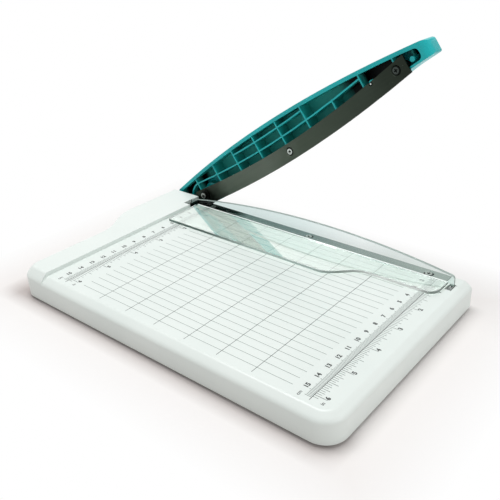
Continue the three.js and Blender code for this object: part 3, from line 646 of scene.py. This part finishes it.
# %% Soft edges
SHARP_ANGLE = 38            # edges that turn further than this stay sharp in the light, degrees
FLAT_WEIGHT = 80            # how much large faces keep their own normal


def smooth(made):
    for face in made.data.polygons:
        face.use_smooth = True
    made.data.set_sharp_from_angle(angle=math.radians(SHARP_ANGLE))
    weights = made.modifiers.new("weights", "WEIGHTED_NORMAL")
    weights.keep_sharp = True
    weights.weight = FLAT_WEIGHT
    return settle(made)


def soften(made, width, angle=50, segments=3):
    """Breaks the sharp edges and leaves large faces flat in the light."""
    bevel = made.modifiers.new("bevel", "BEVEL")
    bevel.width = width * MM
    bevel.segments = segments
    bevel.limit_method = "ANGLE"
    bevel.angle_limit = math.radians(angle)
    bevel.use_clamp_overlap = True
    settle(made)
    return smooth(made)


print("edges stay sharp in the light past", SHARP_ANGLE, "degrees")

# %% [markdown]
# The cover is the board's form joined with the higher rim. Boolean cuts then make the hollow
# underneath, the plane of the cut, the seat of the steel strip, the notch and pocket of the guard,
# and the recess beside the pivot. They could be drawn into the outline, but as a box each they
# keep their own places and can be changed alone.

# %% Places in the board cover
RIM_TOP = 22.8
BOARD_DROP = 2.8
RIM_DROP = 4.3
GAP = 0.3                       # around the strip
STRIP_START = -5.5
STRIP_END = 223.0
STRIP_NEAR = -10.2
STRIP_LOW = 17.0
SEAT_WALL = 1.9                 # what the hollow leaves beside the strip,
SEAT_END = 1.6                  # past its end
SEAT_FLOOR = 4.5                # and under it
SHELF_LOW = 14.3                # the underside of the shelf between the strip and the hinge
EAR_SLOT = (-2.1, 7.3)          # X of the recess beside the pivot
EAR_NEAR_LOW = -5.4             # its Y under the shelf
EAR_NEAR_HIGH = -2.1            # and above it
HOOK_LOW = 14.0                 # the floor of the guard's notch and pocket
NOTCH = ((-6.6, 0.0), (-18.0, -9.1))
POCKET = ((225.8, 230.1), (-18.4, -9.8))
LEFT, RIGHT = -60, 260          # the cutting boxes reach past the base on every side
FRONT, BACK = -200, 40
UNDER, OVER = -10, 40
UNDER_HOLLOW = -30              # the form of the hollow reaches deeper than the cover
COVER_SOFTNESS = 0.4            # the bevel of its edges
print("the strip's seat is", round(STRIP_END - STRIP_START + 2 * GAP, 1), "mm long")

# %% Board cover
cover = base_form(BOARD_Z, BOARD_DROP, WALL_FOOT, "board_cover")
rim = base_form(RIM_TOP, RIM_DROP, WALL_FOOT, "rim_form")
join_form(rim, box_form((LEFT, 0), (FRONT, BACK), (UNDER, OVER), "rim_side"), "INTERSECT")
join_form(cover, rim, "UNION")

hollow = shell_form(BOARD_Z, BOARD_DROP, "hollow")
rim_hollow = shell_form(RIM_TOP, RIM_DROP, "rim_hollow")
join_form(rim_hollow,
          box_form((LEFT, -COVER_WALL), (FRONT, BACK), (UNDER_HOLLOW, OVER), "rim_hollow_side"),
          "INTERSECT")
join_form(hollow, rim_hollow, "UNION")
keeps = {
    "wall_keep": ((LEFT, RIGHT), (-CUT_INSET - COVER_WALL, BACK), (UNDER_HOLLOW, OVER)),
    "rail_keep": ((EAR_SLOT[1], STRIP_END + SEAT_END), (STRIP_NEAR - SEAT_WALL, BACK),
                  (STRIP_LOW - SEAT_FLOOR, OVER)),
    "shelf_keep": ((STRIP_START - SEAT_WALL, EAR_SLOT[1]), (STRIP_NEAR - SEAT_WALL, BACK),
                   (SHELF_LOW, OVER)),
}
for name, (x, y, z) in keeps.items():
    join_form(hollow, box_form(x, y, z, name), "DIFFERENCE")
join_form(cover, hollow, "DIFFERENCE")

cuts = [
    ((LEFT, RIGHT), (-CUT_INSET, BACK), (UNDER, OVER)),             # the plane of the cut
    ((STRIP_START - GAP, STRIP_END + GAP), (STRIP_NEAR - GAP, BACK), (STRIP_LOW - GAP, OVER)),
    (*NOTCH, (HOOK_LOW, OVER)),
    (*POCKET, (HOOK_LOW, OVER)),
    (EAR_SLOT, (EAR_NEAR_LOW, BACK), (UNDER, SHELF_LOW)),           # the recess, under the shelf
    (EAR_SLOT, (EAR_NEAR_HIGH, BACK), (UNDER, OVER)),
]
for index, (x, y, z) in enumerate(cuts):
    join_form(cover, box_form(x, y, z, f"cut_{index}"), "DIFFERENCE")
soften(cover, COVER_SOFTNESS)
dress(cover, white_plastic)
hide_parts("base_cover")
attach(cover, "base")
report(cover)

# %% [markdown]
# The board is printed with close lines along the cut, inch lines across them and a ruler at each
# end. All of them are rows of thin strips, so one Geometry Nodes tree makes them: a row of points,
# a unit strip on each, and a length that grows at every second, fourth or tenth place. A loop
# could make them too, but the tree names its sizes, and each row only fills them in.

# %% Geometry Nodes tree for printed rows
INK_HEIGHT = 0.03


def new_tree(name, sizes, kinds):
    """An empty tree with named inputs, and its input and output nodes."""
    tree = bpy.data.node_groups.new(name, "GeometryNodeTree")
    tree.interface.new_socket("Geometry", in_out="INPUT", socket_type="NodeSocketGeometry")
    tree.interface.new_socket("Geometry", in_out="OUTPUT", socket_type="NodeSocketGeometry")
    for size in sizes:
        tree.interface.new_socket(size, in_out="INPUT", socket_type=kinds.get(size, "NodeSocketFloat"))
    return tree, tree.nodes.new("NodeGroupInput").outputs, tree.nodes.new("NodeGroupOutput")


ROW_SIZES = ["Count", "Start", "Pitch", "Length", "Width", "Height",
             "Every A", "Add A", "Every B", "Add B", "Every C", "Add C", "Every D", "Add D", "Ink"]
ROW_KINDS = {"Count": "NodeSocketInt", "Start": "NodeSocketVector", "Pitch": "NodeSocketVector",
             "Length": "NodeSocketVector", "Ink": "NodeSocketMaterial"}
RULES = "ABCD"                  # each makes the strips at every so many places longer


def build_row_tree():
    """Strips at even steps. Length points along a strip, and the Add values make it longer."""
    tree, given, made = new_tree("printed_row", ROW_SIZES, ROW_KINDS)
    line = add_node(tree, "GeometryNodeMeshLine",
                    {"Count": given["Count"], "Start Location": given["Start"], "Offset": given["Pitch"]})
    index = add_node(tree, "GeometryNodeInputIndex").outputs["Index"]
    length = add_node(tree, "ShaderNodeVectorMath", {0: given["Length"]},
                      operation="LENGTH").outputs["Value"]
    for mark in RULES:
        rest = maths(tree, "MODULO", index, given[f"Every {mark}"])
        on = maths(tree, "LESS_THAN", rest, 0.5)
        length = maths(tree, "ADD", length, maths(tree, "MULTIPLY", on, given[f"Add {mark}"]))

    strip = add_node(tree, "GeometryNodeMeshCube")
    shift = add_node(tree, "GeometryNodeTransform", {"Geometry": strip.outputs["Mesh"],
                                                     "Translation": (0.5, 0, 0)})
    aim = add_node(tree, "FunctionNodeAlignRotationToVector", {"Vector": given["Length"]}, axis="X")
    scale = add_node(tree, "ShaderNodeCombineXYZ",
                     {"X": length, "Y": given["Width"], "Z": given["Height"]})
    copies = add_node(tree, "GeometryNodeInstanceOnPoints",
                      {"Points": line.outputs["Mesh"], "Instance": shift.outputs["Geometry"],
                       "Rotation": aim.outputs["Rotation"], "Scale": scale.outputs["Vector"]})
    real = add_node(tree, "GeometryNodeRealizeInstances", {"Geometry": copies.outputs["Instances"]})
    inked = add_node(tree, "GeometryNodeSetMaterial", {"Geometry": real.outputs["Geometry"],
                                                       "Material": given["Ink"]})
    feed(tree, made.inputs["Geometry"], inked.outputs["Geometry"])
    return tree


row_tree = build_row_tree()
print("tree:", row_tree.name, "inputs:", ROW_SIZES)

# %% Running a tree


def points_mesh(places):
    bm = bmesh.new()
    for spot in places:
        bm.verts.new(spot)
    return bm


def grown(name, tree, sizes, places=()):
    """Runs a tree on a few points and keeps its plain mesh."""
    made = mesh_object(name, points_mesh(places))
    grow = made.modifiers.new("grow", "NODES")
    grow.node_group = tree
    sockets = {item.name: item.identifier for item in tree.interface.items_tree
               if item.item_type == "SOCKET" and item.in_out == "INPUT"}
    for size, value in sizes.items():
        grow[sockets[size]] = value
    return settle(made)


NEVER = (1000, 0.0)             # a rule that makes no strip longer


def row(name, ink_finish, start, pitch, length, width, count, adds=()):
    sizes = {"Count": count, "Start": tuple(start), "Pitch": tuple(v * MM for v in pitch),
             "Length": tuple(v * MM for v in length), "Width": width * MM,
             "Height": INK_HEIGHT * MM, "Ink": ink_finish}
    for mark, (every, add) in zip(RULES, list(adds) + [NEVER] * len(RULES)):
        sizes[f"Every {mark}"] = float(every)
        sizes[f"Add {mark}"] = add * MM
    return grown(name, row_tree, sizes)


def join(name, parts):
    """Joins meshes, with their materials, into one object."""
    bm = bmesh.new()
    finishes = []
    for part in parts:
        numbers = []
        for material in part.data.materials:
            if material not in finishes:
                finishes.append(material)
            numbers.append(finishes.index(material))
        before = len(bm.faces)
        bm.from_mesh(part.data)
        bm.faces.ensure_lookup_table()
        for face in bm.faces[before:]:
            face.material_index = numbers[min(face.material_index, len(numbers) - 1)]
        bpy.data.objects.remove(part)
    made = mesh_object(name, bm)
    for material in finishes:
        made.data.materials.append(material)
    return made


print("a row can have", len(RULES), "rules for longer strips")

# %% Close lines, inch lines and rulers
INCH = 25.4
LINE_LEFT = 31.0
LINE_RIGHT = 203.8
FIRST_INCH_LINE = 53.0
RULERS = (16.9, 217.5)
PRINT_START = -10.8
RULER_END = -157.2
INK_MIDDLE = BOARD_Z + 0.005
CLOSE_WIDTH, CLOSE_COUNT = 0.36, 24
INCH_WIDTH, INCH_COUNT = 0.38, 6
RULER_WIDTH = 0.34
TICK_WIDTH = 0.3
MM_TICK, MM_COUNT = -3.8, 146
MM_LONGER = [(5, 0.5), (10, 0.4)]                       # (every so many ticks, longer by mm)
SIXTEENTH_TICK, SIXTEENTH_COUNT = 3.4, 90
SIXTEENTH_LONGER = [(2, 0.8), (4, 1.0), (8, 1.0)]
INCH_TICK = 8.0

close_lines = row("close_lines", pale_ink, place(LINE_LEFT, -INCH / 4, INK_MIDDLE), (0, -INCH / 4, 0),
                  (LINE_RIGHT - LINE_LEFT, 0, 0), CLOSE_WIDTH, CLOSE_COUNT)
inch_lines = row("inch_lines", dark_ink, place(FIRST_INCH_LINE, RULER_END, INK_MIDDLE), (INCH, 0, 0),
                 (0, PRINT_START - RULER_END, 0), INCH_WIDTH, INCH_COUNT)
rulers = []
for side, ruler in zip("lr", RULERS):
    rulers.append(row(f"ruler_line_{side}", black_ink, place(ruler, RULER_END, INK_MIDDLE), (0, 0, 0),
                      (0, PRINT_START - RULER_END, 0), RULER_WIDTH, 1))
    rulers.append(row(f"millimetres_{side}", dark_ink, place(ruler, -10, INK_MIDDLE), (0, -1, 0),
                      (MM_TICK, 0, 0), TICK_WIDTH, MM_COUNT, MM_LONGER))
    rulers.append(row(f"sixteenths_{side}", dark_ink, place(ruler, -INCH / 2, INK_MIDDLE),
                      (0, -INCH / 16, 0), (SIXTEENTH_TICK, 0, 0), TICK_WIDTH, SIXTEENTH_COUNT,
                      SIXTEENTH_LONGER))
    rulers.append(row(f"inches_{side}", dark_ink, place(ruler, -INCH, INK_MIDDLE), (0, -INCH, 0),
                      (INCH_TICK, 0, 0), TICK_WIDTH, INCH_COUNT))
printed_lines = join("printed_lines", [close_lines, inch_lines, *rulers])
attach(printed_lines, "base")
report(printed_lines)

# %% [markdown]
# The numbers are text objects. They read along the rulers, with their tops towards the hinge, so
# each is turned a quarter. Once placed they become flat mesh with a hair of thickness. They could
# be drawn as curves, but a font keeps them even.

# %% Numbers of the rulers
NUMBER_SIZE = 3.9
NUMBER_BOLD = 0.17
UNIT_SIZE = 3.1
UNIT_BOLD = 0.04
CM_COLUMNS = (9.7, 210.3)
INCH_COLUMNS = (24.8, 224.8)
NUMBER_LEAD = 1.5
UNIT_PLACE = -155.8


def number(text, x, y, size=NUMBER_SIZE, bold=NUMBER_BOLD):
    words = bpy.data.curves.new(f"word_{text}", "FONT")
    words.body = text
    words.size = size * MM
    words.align_x = "CENTER"
    words.align_y = "CENTER"
    words.extrude = INK_HEIGHT / 2 * MM
    words.offset = bold * MM
    words.resolution_u = 3
    shown = bpy.data.objects.new(f"word_{text}", words)
    bpy.context.scene.collection.objects.link(shown)
    graph = bpy.context.evaluated_depsgraph_get()
    mesh = bpy.data.meshes.new_from_object(shown.evaluated_get(graph))
    mesh.transform(Matrix.Translation(place(x, y, INK_MIDDLE)) @ Matrix.Rotation(math.pi / 2, 4, "Z"))
    bpy.data.objects.remove(shown)
    made = bpy.data.objects.new(f"number_{text}", mesh)
    bpy.context.scene.collection.objects.link(made)
    return dress(made, black_ink)


numbers = []
for column in CM_COLUMNS:
    numbers += [number(str(step), column, -step * 10 + NUMBER_LEAD) for step in range(1, 16)]
    numbers.append(number("cm", column, UNIT_PLACE, UNIT_SIZE, UNIT_BOLD))
for column in INCH_COLUMNS:
    numbers += [number(str(step), column, -step * INCH + NUMBER_LEAD) for step in range(1, 7)]
    numbers.append(number("in", column, UNIT_PLACE, UNIT_SIZE, UNIT_BOLD))
printed_numbers = join("printed_numbers", numbers)
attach(printed_numbers, "base")
report(printed_numbers)

# %% [markdown]
# Screws repeat, so a second tree grows them. A screw is a bright raised disc on a sunk rim that
# carries painted shade, with a cross cut into it for the driver, a cone under the head and a shank.
# The forms are joined, and the cross is cut by a Mesh Boolean.

# %% Forms of a screw
SCREW_LENGTHS = ["Disc Radius", "Rim Radius", "Rim Drop", "Neck Radius", "Head Depth", "Shank Radius",
                 "Length", "Cross Length", "Cross Width", "Cross Depth"]
SCREW_SIZES = SCREW_LENGTHS + ["Axis", "Twist", "Bright Finish", "Dark Finish"]
SCREW_KINDS = {"Axis": "NodeSocketVector", "Bright Finish": "NodeSocketMaterial",
               "Dark Finish": "NodeSocketMaterial"}
DISC_SIDES = 36


def frustum(tree, top, low, height, top_at):
    """A round form between two radii, with its upper face at the height top_at."""
    cone = add_node(tree, "GeometryNodeMeshCone", {"Vertices": DISC_SIDES, "Radius Top": top,
                                                   "Radius Bottom": low, "Depth": height})
    lift = add_node(tree, "ShaderNodeCombineXYZ", {"Z": maths(tree, "SUBTRACT", top_at, height)})
    moved = add_node(tree, "GeometryNodeTransform", {"Geometry": cone.outputs["Mesh"],
                                                     "Translation": lift.outputs["Vector"]})
    return moved.outputs["Geometry"]


def joined(tree, *forms):
    node = add_node(tree, "GeometryNodeJoinGeometry")
    for form in forms:
        tree.links.new(form, node.inputs["Geometry"])
    return node.outputs["Geometry"]


def cross(tree, given):
    """Two crossed boxes, half above the head's face and half below it."""
    height = maths(tree, "MULTIPLY", given["Cross Depth"], 2.0)
    boxes = []
    for first, second in (("Cross Length", "Cross Width"), ("Cross Width", "Cross Length")):
        size = add_node(tree, "ShaderNodeCombineXYZ",
                        {"X": given[first], "Y": given[second], "Z": height})
        box = add_node(tree, "GeometryNodeMeshCube", {"Size": size.outputs["Vector"]})
        boxes.append(box.outputs["Mesh"])
    return boxes


def cut_out(tree, form, *tools):
    node = add_node(tree, "GeometryNodeMeshBoolean", {"Mesh 1": form}, operation="DIFFERENCE",
                    solver="EXACT")
    for tool in tools:
        tree.links.new(tool, node.inputs["Mesh 2"])
    return node.outputs["Mesh"]


def screw_form(tree, given):
    boxes = cross(tree, given)
    drop, depth = given["Rim Drop"], given["Head Depth"]
    disc = frustum(tree, given["Disc Radius"], given["Disc Radius"], drop, 0.0)
    head = frustum(tree, given["Rim Radius"], given["Neck Radius"], maths(tree, "SUBTRACT", depth, drop),
                   maths(tree, "MULTIPLY", drop, -1.0))
    shank = frustum(tree, given["Shank Radius"], given["Shank Radius"],
                    maths(tree, "SUBTRACT", given["Length"], depth), maths(tree, "MULTIPLY", depth, -1.0))
    return joined(tree, cut_out(tree, disc, *boxes), cut_out(tree, head, *boxes), shank)


print("sizes of a screw:", SCREW_LENGTHS)

# %% [markdown]
# Whatever lies below the bright face is marked, so that painted shade can blacken it. Each screw
# is aimed along its axis, and its cross is turned further than the last one's, because real screws
# stop at any angle.

# %% Geometry Nodes tree for screws
SUNK_SHARE = 0.7            # faces lower than this part of the rim's drop are sunk


def mark_sunk(tree, given, screw):
    spot = add_node(tree, "GeometryNodeInputPosition").outputs["Position"]
    height = add_node(tree, "ShaderNodeSeparateXYZ", {"Vector": spot}).outputs["Z"]
    sunk = maths(tree, "LESS_THAN", height, maths(tree, "MULTIPLY", given["Rim Drop"], -SUNK_SHARE))
    marked = add_node(tree, "GeometryNodeStoreNamedAttribute",
                      {"Geometry": screw, "Name": "sunk", "Value": sunk},
                      data_type="FLOAT", domain="FACE")
    return marked.outputs["Geometry"]


def screw_turn(tree, given):
    """The turn that aims each screw along the axis and twists it further than the last one."""
    index = add_node(tree, "GeometryNodeInputIndex").outputs["Index"]
    twist = maths(tree, "MULTIPLY", given["Twist"], maths(tree, "ADD", index, 1.0))
    aim = add_node(tree, "FunctionNodeAlignRotationToVector", {"Vector": given["Axis"]}, axis="Z")
    spin = add_node(tree, "FunctionNodeAxisAngleToRotation", {"Axis": (0, 0, 1), "Angle": twist})
    turned = add_node(tree, "FunctionNodeRotateRotation", {"Rotation": aim.outputs["Rotation"],
                                                           "Rotate By": spin.outputs["Rotation"]},
                      rotation_space="LOCAL")
    return turned.outputs["Rotation"]


def build_screw_tree():
    tree, given, made = new_tree("cross_screw", SCREW_SIZES, SCREW_KINDS)
    screw = mark_sunk(tree, given, screw_form(tree, given))
    copies = add_node(tree, "GeometryNodeInstanceOnPoints",
                      {"Points": given["Geometry"], "Instance": screw,
                       "Rotation": screw_turn(tree, given)})
    real = add_node(tree, "GeometryNodeRealizeInstances", {"Geometry": copies.outputs["Instances"]})
    bright = add_node(tree, "GeometryNodeSetMaterial", {"Geometry": real.outputs["Geometry"],
                                                        "Material": given["Bright Finish"]})
    # The sunk faces get the black of painted shade.
    mark = add_node(tree, "GeometryNodeInputNamedAttribute", {"Name": "sunk"}, data_type="FLOAT")
    dark = add_node(tree, "GeometryNodeSetMaterial",
                    {"Geometry": bright.outputs["Geometry"], "Selection": mark.outputs["Attribute"],
                     "Material": given["Dark Finish"]})
    feed(tree, made.inputs["Geometry"], dark.outputs["Geometry"])
    return tree


screw_tree = build_screw_tree()
print("tree:", screw_tree.name, "inputs:", SCREW_SIZES)

# %% [markdown]
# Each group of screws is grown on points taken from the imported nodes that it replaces, so a head
# stays where its node is. The screws of the strip and plate look up and down, and those of the
# blade and the pivot look out from the blade's face. The ten lengths of each group are in
# millimetres, in the order of SCREW_LENGTHS.

# %% Screws
SCREW_SOFTNESS = 0.08


def head_place(node, axis):
    """The middle of the node's end face on the side that the axis points to."""
    low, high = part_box(node)
    middle = (low + high) / 2
    return middle + Vector(axis) * abs((high - low).dot(Vector(axis))) / 2


def screws(name, nodes, body, axis, lengths, twist, bright=zinc_steel):
    sizes = {size: value * MM for size, value in zip(SCREW_LENGTHS, lengths)}
    sizes.update({"Axis": axis, "Twist": twist, "Bright Finish": bright, "Dark Finish": black_painted_shade})
    made = grown(name, screw_tree, sizes, [head_place(node, axis) for node in nodes])
    soften(made, SCREW_SOFTNESS, segments=2)
    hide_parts(*nodes)
    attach(made, body)
    report(made)


screws("strip_screws", ["bed_screw_1", "bed_screw_2", "bed_screw_3"], "base", (0, 0, 1),
       (2.4, 3.0, 0.3, 1.6, 2.0, 1.6, 7.5, 2.9, 0.8, 1.3), 0.5)
screws("plate_screws", [f"base_screw_{i}" for i in range(1, 7)], "base", (0, 0, -1),
       (2.3, 2.65, 0.15, 2.65, 1.2, 1.3, 9.0, 2.6, 0.7, 0.9), 0.7)
screws("blade_screws", ["blade_screw_mid", "blade_screw_tip"], "arm", (0, -1, 0),
       (2.2, 2.85, 0.3, 1.6, 1.5, 1.6, 9.0, 2.7, 0.8, 1.1), 0.35, arm_zinc_shaded)
screws("pin_end", ["blade_pin"], "arm", (0, -1, 0),
       (0.6, 1.05, 0.15, 1.05, 0.8, 1.05, 5.0, 0.3, 0.3, 0.1), 0.0)
bolt_length = (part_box("pivot_bolt")[1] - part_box("pivot_bolt")[0]).y / MM
screws("pivot_bolt_head", ["pivot_bolt"], "base", (0, -1, 0),
       (2.4, 2.95, 0.4, 2.95, 1.7, 2.0, bolt_length, 3.4, 1.1, 0.9), 0.3)

# %% [markdown]
# Pieces that already have the right shape keep it, and get softer edges. A copy of the solid is
# merged, its flat faces are joined, and a small bevel rounds each edge that is sharp. They could
# be modelled anew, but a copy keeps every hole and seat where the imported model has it.

# %% Softened copies of solids
DOUBLE_GAP = 0.002          # points closer than this are one, mm
FLAT_ANGLE = 0.6            # faces that turn less than this are one, degrees
EDGE_ANGLE = 40             # edges that turn more than this get a bevel, degrees


def copy_of(node, name):
    bm = bmesh.new()
    bm.from_mesh(frame["nodes"][node].data)
    bmesh.ops.remove_doubles(bm, verts=bm.verts, dist=DOUBLE_GAP * MM)
    bmesh.ops.dissolve_limit(bm, angle_limit=math.radians(FLAT_ANGLE), verts=bm.verts, edges=bm.edges)
    return mesh_object(name, bm)


def softened_copy(node, name, body, width):
    made = soften(copy_of(node, name), width, EDGE_ANGLE, 2)
    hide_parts(node)
    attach(made, body)
    report(made)
    return made


dress(softened_copy("bed_strip", "steel_strip", "base", 0.15), strip_steel)
dress(softened_copy("cutting_blade", "arm_blade", "arm", 0.12), blade_steel)

# %% [markdown]
# The guard has four finishes: the flange is clear, the upright wall bends the light less, and the
# narrow faces around the flange and along the crest of the arch are frosted. A face belongs to an
# edge when it looks sideways low down on the flange, and to the crest when it looks up above it.

# %% Clear guard
FLANGE_TOP = 22.3
WALL_NEAR = -12.5
FLANGE_END = WALL_NEAR - 0.4    # Y up to which a face is the flange's, and past it the wall's
CREST_LOW = FLANGE_TOP + 0.8
SIDEWAYS = 0.75                 # a face looks sideways when its normal rises less than this
UPWARDS = 0.3
ACROSS = 0.7
WALL_FINISH, EDGE_FINISH, CREST_FINISH = 1, 2, 3

guard = dress(softened_copy("guard", "clear_guard", "guard", 0.5),
              clear_plastic, clear_wall, clear_edge, clear_crest)
for face in guard.data.polygons:
    spot = face.center / MM - Vector((STOP_X, CUT_Y, 0))
    if abs(face.normal.z) < SIDEWAYS and spot.y < FLANGE_END and spot.z < FLANGE_TOP:
        face.material_index = EDGE_FINISH
    elif face.normal.z > UPWARDS and spot.z > CREST_LOW:
        face.material_index = CREST_FINISH
    elif abs(face.normal.y) > ACROSS and spot.y > FLANGE_END:
        face.material_index = WALL_FINISH
print("faces of the flange, wall, edge and crest:",
      [sum(face.material_index == index for face in guard.data.polygons)
       for index in (0, WALL_FINISH, EDGE_FINISH, CREST_FINISH)])

# %% [markdown]
# A small fillet fills the bend between the flange and the upright wall. It catches the light from
# above, and its near-white, mostly frosted finish is a painted highlight all along it, as a thin
# white line. A wider bevel would round the bend too, but with it all other edges of the guard. So it
# is a skin of rings again, one at each step along X.

# %% Fillet of the guard
FILLET_RUN = 0.8             # mm along the flange
FILLET_RISE = 0.2            # up the wall
FILLET_START = 5.0
FILLET_END = 224.6
FILLET_GAP = 0.03            # between it and the guard, so that no faces lie in one plane
FILLET_BEND = 0.3            # how close to the corner its curve is drawn, in parts of both legs
FILLET_STEPS = 40
CURVE_STEPS = 6


def fillet_ring(x):
    """The outline across the fillet: its corner in the bend, then the hollow curve between both legs."""
    near, low = WALL_NEAR - FILLET_GAP, FLANGE_TOP + FILLET_GAP
    bend = (near - FILLET_RUN * FILLET_BEND, low + FILLET_RISE * FILLET_BEND)
    curve = curve_between((near - FILLET_RUN, low), bend, (near, low + FILLET_RISE), CURVE_STEPS)
    return [(x, y, z) for y, z in [(near, low)] + curve]


rings = [fillet_ring(FILLET_START + (FILLET_END - FILLET_START) * i / FILLET_STEPS)
         for i in range(FILLET_STEPS + 1)]
fillet = mesh_object("guard_fillet", skin(rings))
smooth(dress(fillet, fillet_painted_highlight))
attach(fillet, "guard")
report(fillet)

# %% [markdown]
# The arm's hollow is found by looking: a face belongs to it when a line from it to the open side
# is free, and a line the other way meets the arm's back. Those faces get the teal with painted
# shade, but not the round peg near the tip, and not the handle's end, which is rounded. They could
# be picked one by one, but then each change to the ribs would lose them.

# %% Arm moulding
HOLLOW_DEPTH = 1.0
HOLLOW_END = 227.3
PEG_PLACE = (220.9, -0.2)
PEG_RADIUS = 1.7
PROBE = 0.15                # how far in front of a face the lines start, mm
HOLLOW_FINISH = 1

arm = dress(softened_copy("arm_shell", "arm_moulding", "arm", 0.3),
            teal_plastic, teal_hollow_shaded)
shape = bmesh.new()
shape.from_mesh(arm.data)
around = BVHTree.FromBMesh(shape)
shape.free()
to_arm = Matrix.Rotation(ARM_RAISE, 3, "Y")
hollow_faces = 0
for face in arm.data.polygons:
    spot = to_arm @ (face.center - PIVOT) / MM
    on_peg = math.hypot(spot.x - PEG_PLACE[0], spot.z - PEG_PLACE[1]) < PEG_RADIUS + PROBE
    if face.center.y < (ARM_FACE + HOLLOW_DEPTH) * MM or spot.x > HOLLOW_END or on_peg:
        continue
    start = face.center + face.normal * PROBE * MM
    free = around.ray_cast(start, Vector((0, -1, 0)))[0] is None
    backed = around.ray_cast(start, Vector((0, 1, 0)))[0] is not None
    if free and backed:
        face.material_index = HOLLOW_FINISH
        hollow_faces += 1
print("faces of the hollow:", hollow_faces)

# %% [markdown]
# The remaining solids keep their own mesh and only get the finish of their slot. The bracket under
# the hinge is painted black as shade, because the recess beside the hinge is dark in the photograph.

# %% Finishes of the other solids
FINISHES = {"plate_plastic": plate_plastic, "zinc_steel": zinc_steel, "blade_steel": blade_steel,
            "foot_rubber": foot_rubber, "strip_steel": strip_steel, "teal_plastic": teal_plastic,
            "white_plastic": white_plastic, "clear_plastic": clear_plastic}
for part in frame["record"]["subparts"]:
    dress(frame["nodes"][part["node"]], FINISHES[part["material_slot"]])
dress(frame["nodes"]["pivot_bracket"], black_painted_shade)

# %% [markdown]
# The trimmer stands on a pale table under soft light. Near the trimmer the table is plain matt
# paint, so the shadow under the walls is real. A band along the base's front is a darker tone,
# which deepens the soft shadow there. Further out the camera sees the table glow up to white, and
# gloss and clear plastic see the same.

# %% Table
FLOOR_SIZE = 4.0
FLOOR_HALF = (0.138, 0.083)       # half the sides of the part that is plain paint
FADE = (0.004, 0.055)             # distance from that part over which the glow comes up
SHADE_LINE = -0.085               # Y of a darker band of the table along the base's front
SHADE_SIDES = (0.007, 0.019)      # distance from that line over which the band ends
SHADE_ENDS = (0.128, 0.146)       # distance from the middle over which it ends along X


def seen_rays(tree):
    """1 for rays from the camera, through clear plastic and off gloss, and 0 for all others."""
    rays = add_node(tree, "ShaderNodeLightPath").outputs
    seen = maths(tree, "MAXIMUM", rays["Is Camera Ray"], rays["Is Transmission Ray"])
    return maths(tree, "MAXIMUM", seen, rays["Is Glossy Ray"])


floor_bm = bmesh.new()
bmesh.ops.create_grid(floor_bm, x_segments=2, y_segments=2, size=FLOOR_SIZE)
floor = mesh_object("floor", floor_bm)
floor_paint, shader = finish("floor_paint", 0.9)
tree = floor_paint.node_tree
axes = own_axes(tree)
beside = span(floor_paint, maths(tree, "ABSOLUTE", axes["X"]), SHADE_ENDS, (1.0, 0.0))
from_line = maths(tree, "ABSOLUTE", maths(tree, "SUBTRACT", axes["Y"], SHADE_LINE))
before = span(floor_paint, from_line, SHADE_SIDES, (1.0, 0.0))
feed(tree, shader.inputs["Base Color"],
     tones(floor_paint, maths(tree, "MULTIPLY", beside, before),
           [(0.0, linear(240, 236, 234)), (1.0, linear(188, 179, 176))]))
beyond = [maths(tree, "SUBTRACT", maths(tree, "ABSOLUTE", axes[axis]), half)
          for axis, half in zip("XY", FLOOR_HALF)]
outside = span(floor_paint, maths(tree, "MAXIMUM", *beyond), FADE, (0.0, 1.0))
glow = add_node(tree, "ShaderNodeEmission", {"Strength": 1.0})
show_mix(tree, maths(tree, "MULTIPLY", seen_rays(tree), outside), shader.outputs["BSDF"],
         glow.outputs["Emission"])
dress(floor, floor_paint)
print("table made, with a darker band at Y", SHADE_LINE)

# %% [markdown]
# The world lights the trimmer with an even grey sky, and shows white to the camera, to gloss and
# through clear plastic. A broad lamp above the paper stop and one at the right give the walls their
# different tones. Stronger lamps with a darker sky would make hard shadows, which a plain product
# table doesn't have.

# %% World
SKY_STRENGTH = 0.385

world = bpy.data.worlds.new("world")
bpy.context.scene.world = world
world.use_nodes = True
tree = world.node_tree
sky = tree.nodes["Background"]
sky.inputs["Color"].default_value = (1, 1, 1, 1)
sky.inputs["Strength"].default_value = SKY_STRENGTH
screen = add_node(tree, "ShaderNodeBackground", {"Color": (1, 1, 1, 1), "Strength": 1.0})
show_mix(tree, seen_rays(tree), sky.outputs["Background"], screen.outputs["Background"],
         "World Output")
print("sky strength", SKY_STRENGTH)

# %% Lamps


def lamp(name, location, target, size, power):
    data = bpy.data.lights.new(name, "AREA")
    data.shape = "RECTANGLE"
    data.size, data.size_y = size
    data.energy = power
    made = bpy.data.objects.new(name, data)
    bpy.context.scene.collection.objects.link(made)
    aim = Vector(target) - Vector(location)
    made.matrix_world = Matrix.Translation(location) @ aim.to_track_quat("-Z", "Y").to_matrix().to_4x4()


lamp("top_light", (-0.2, -0.02, 1.1), (-0.2, -0.02, 0), (0.9, 0.5), 8.8)
lamp("right_light", (1.0, 0.0, 0.42), (0, 0, 0.02), (0.7, 0.5), 1.75)
print("lamps made")

# %% [markdown]
# The colours are shown plainly.

# %% View
bpy.context.scene.view_settings.view_transform = "Standard"
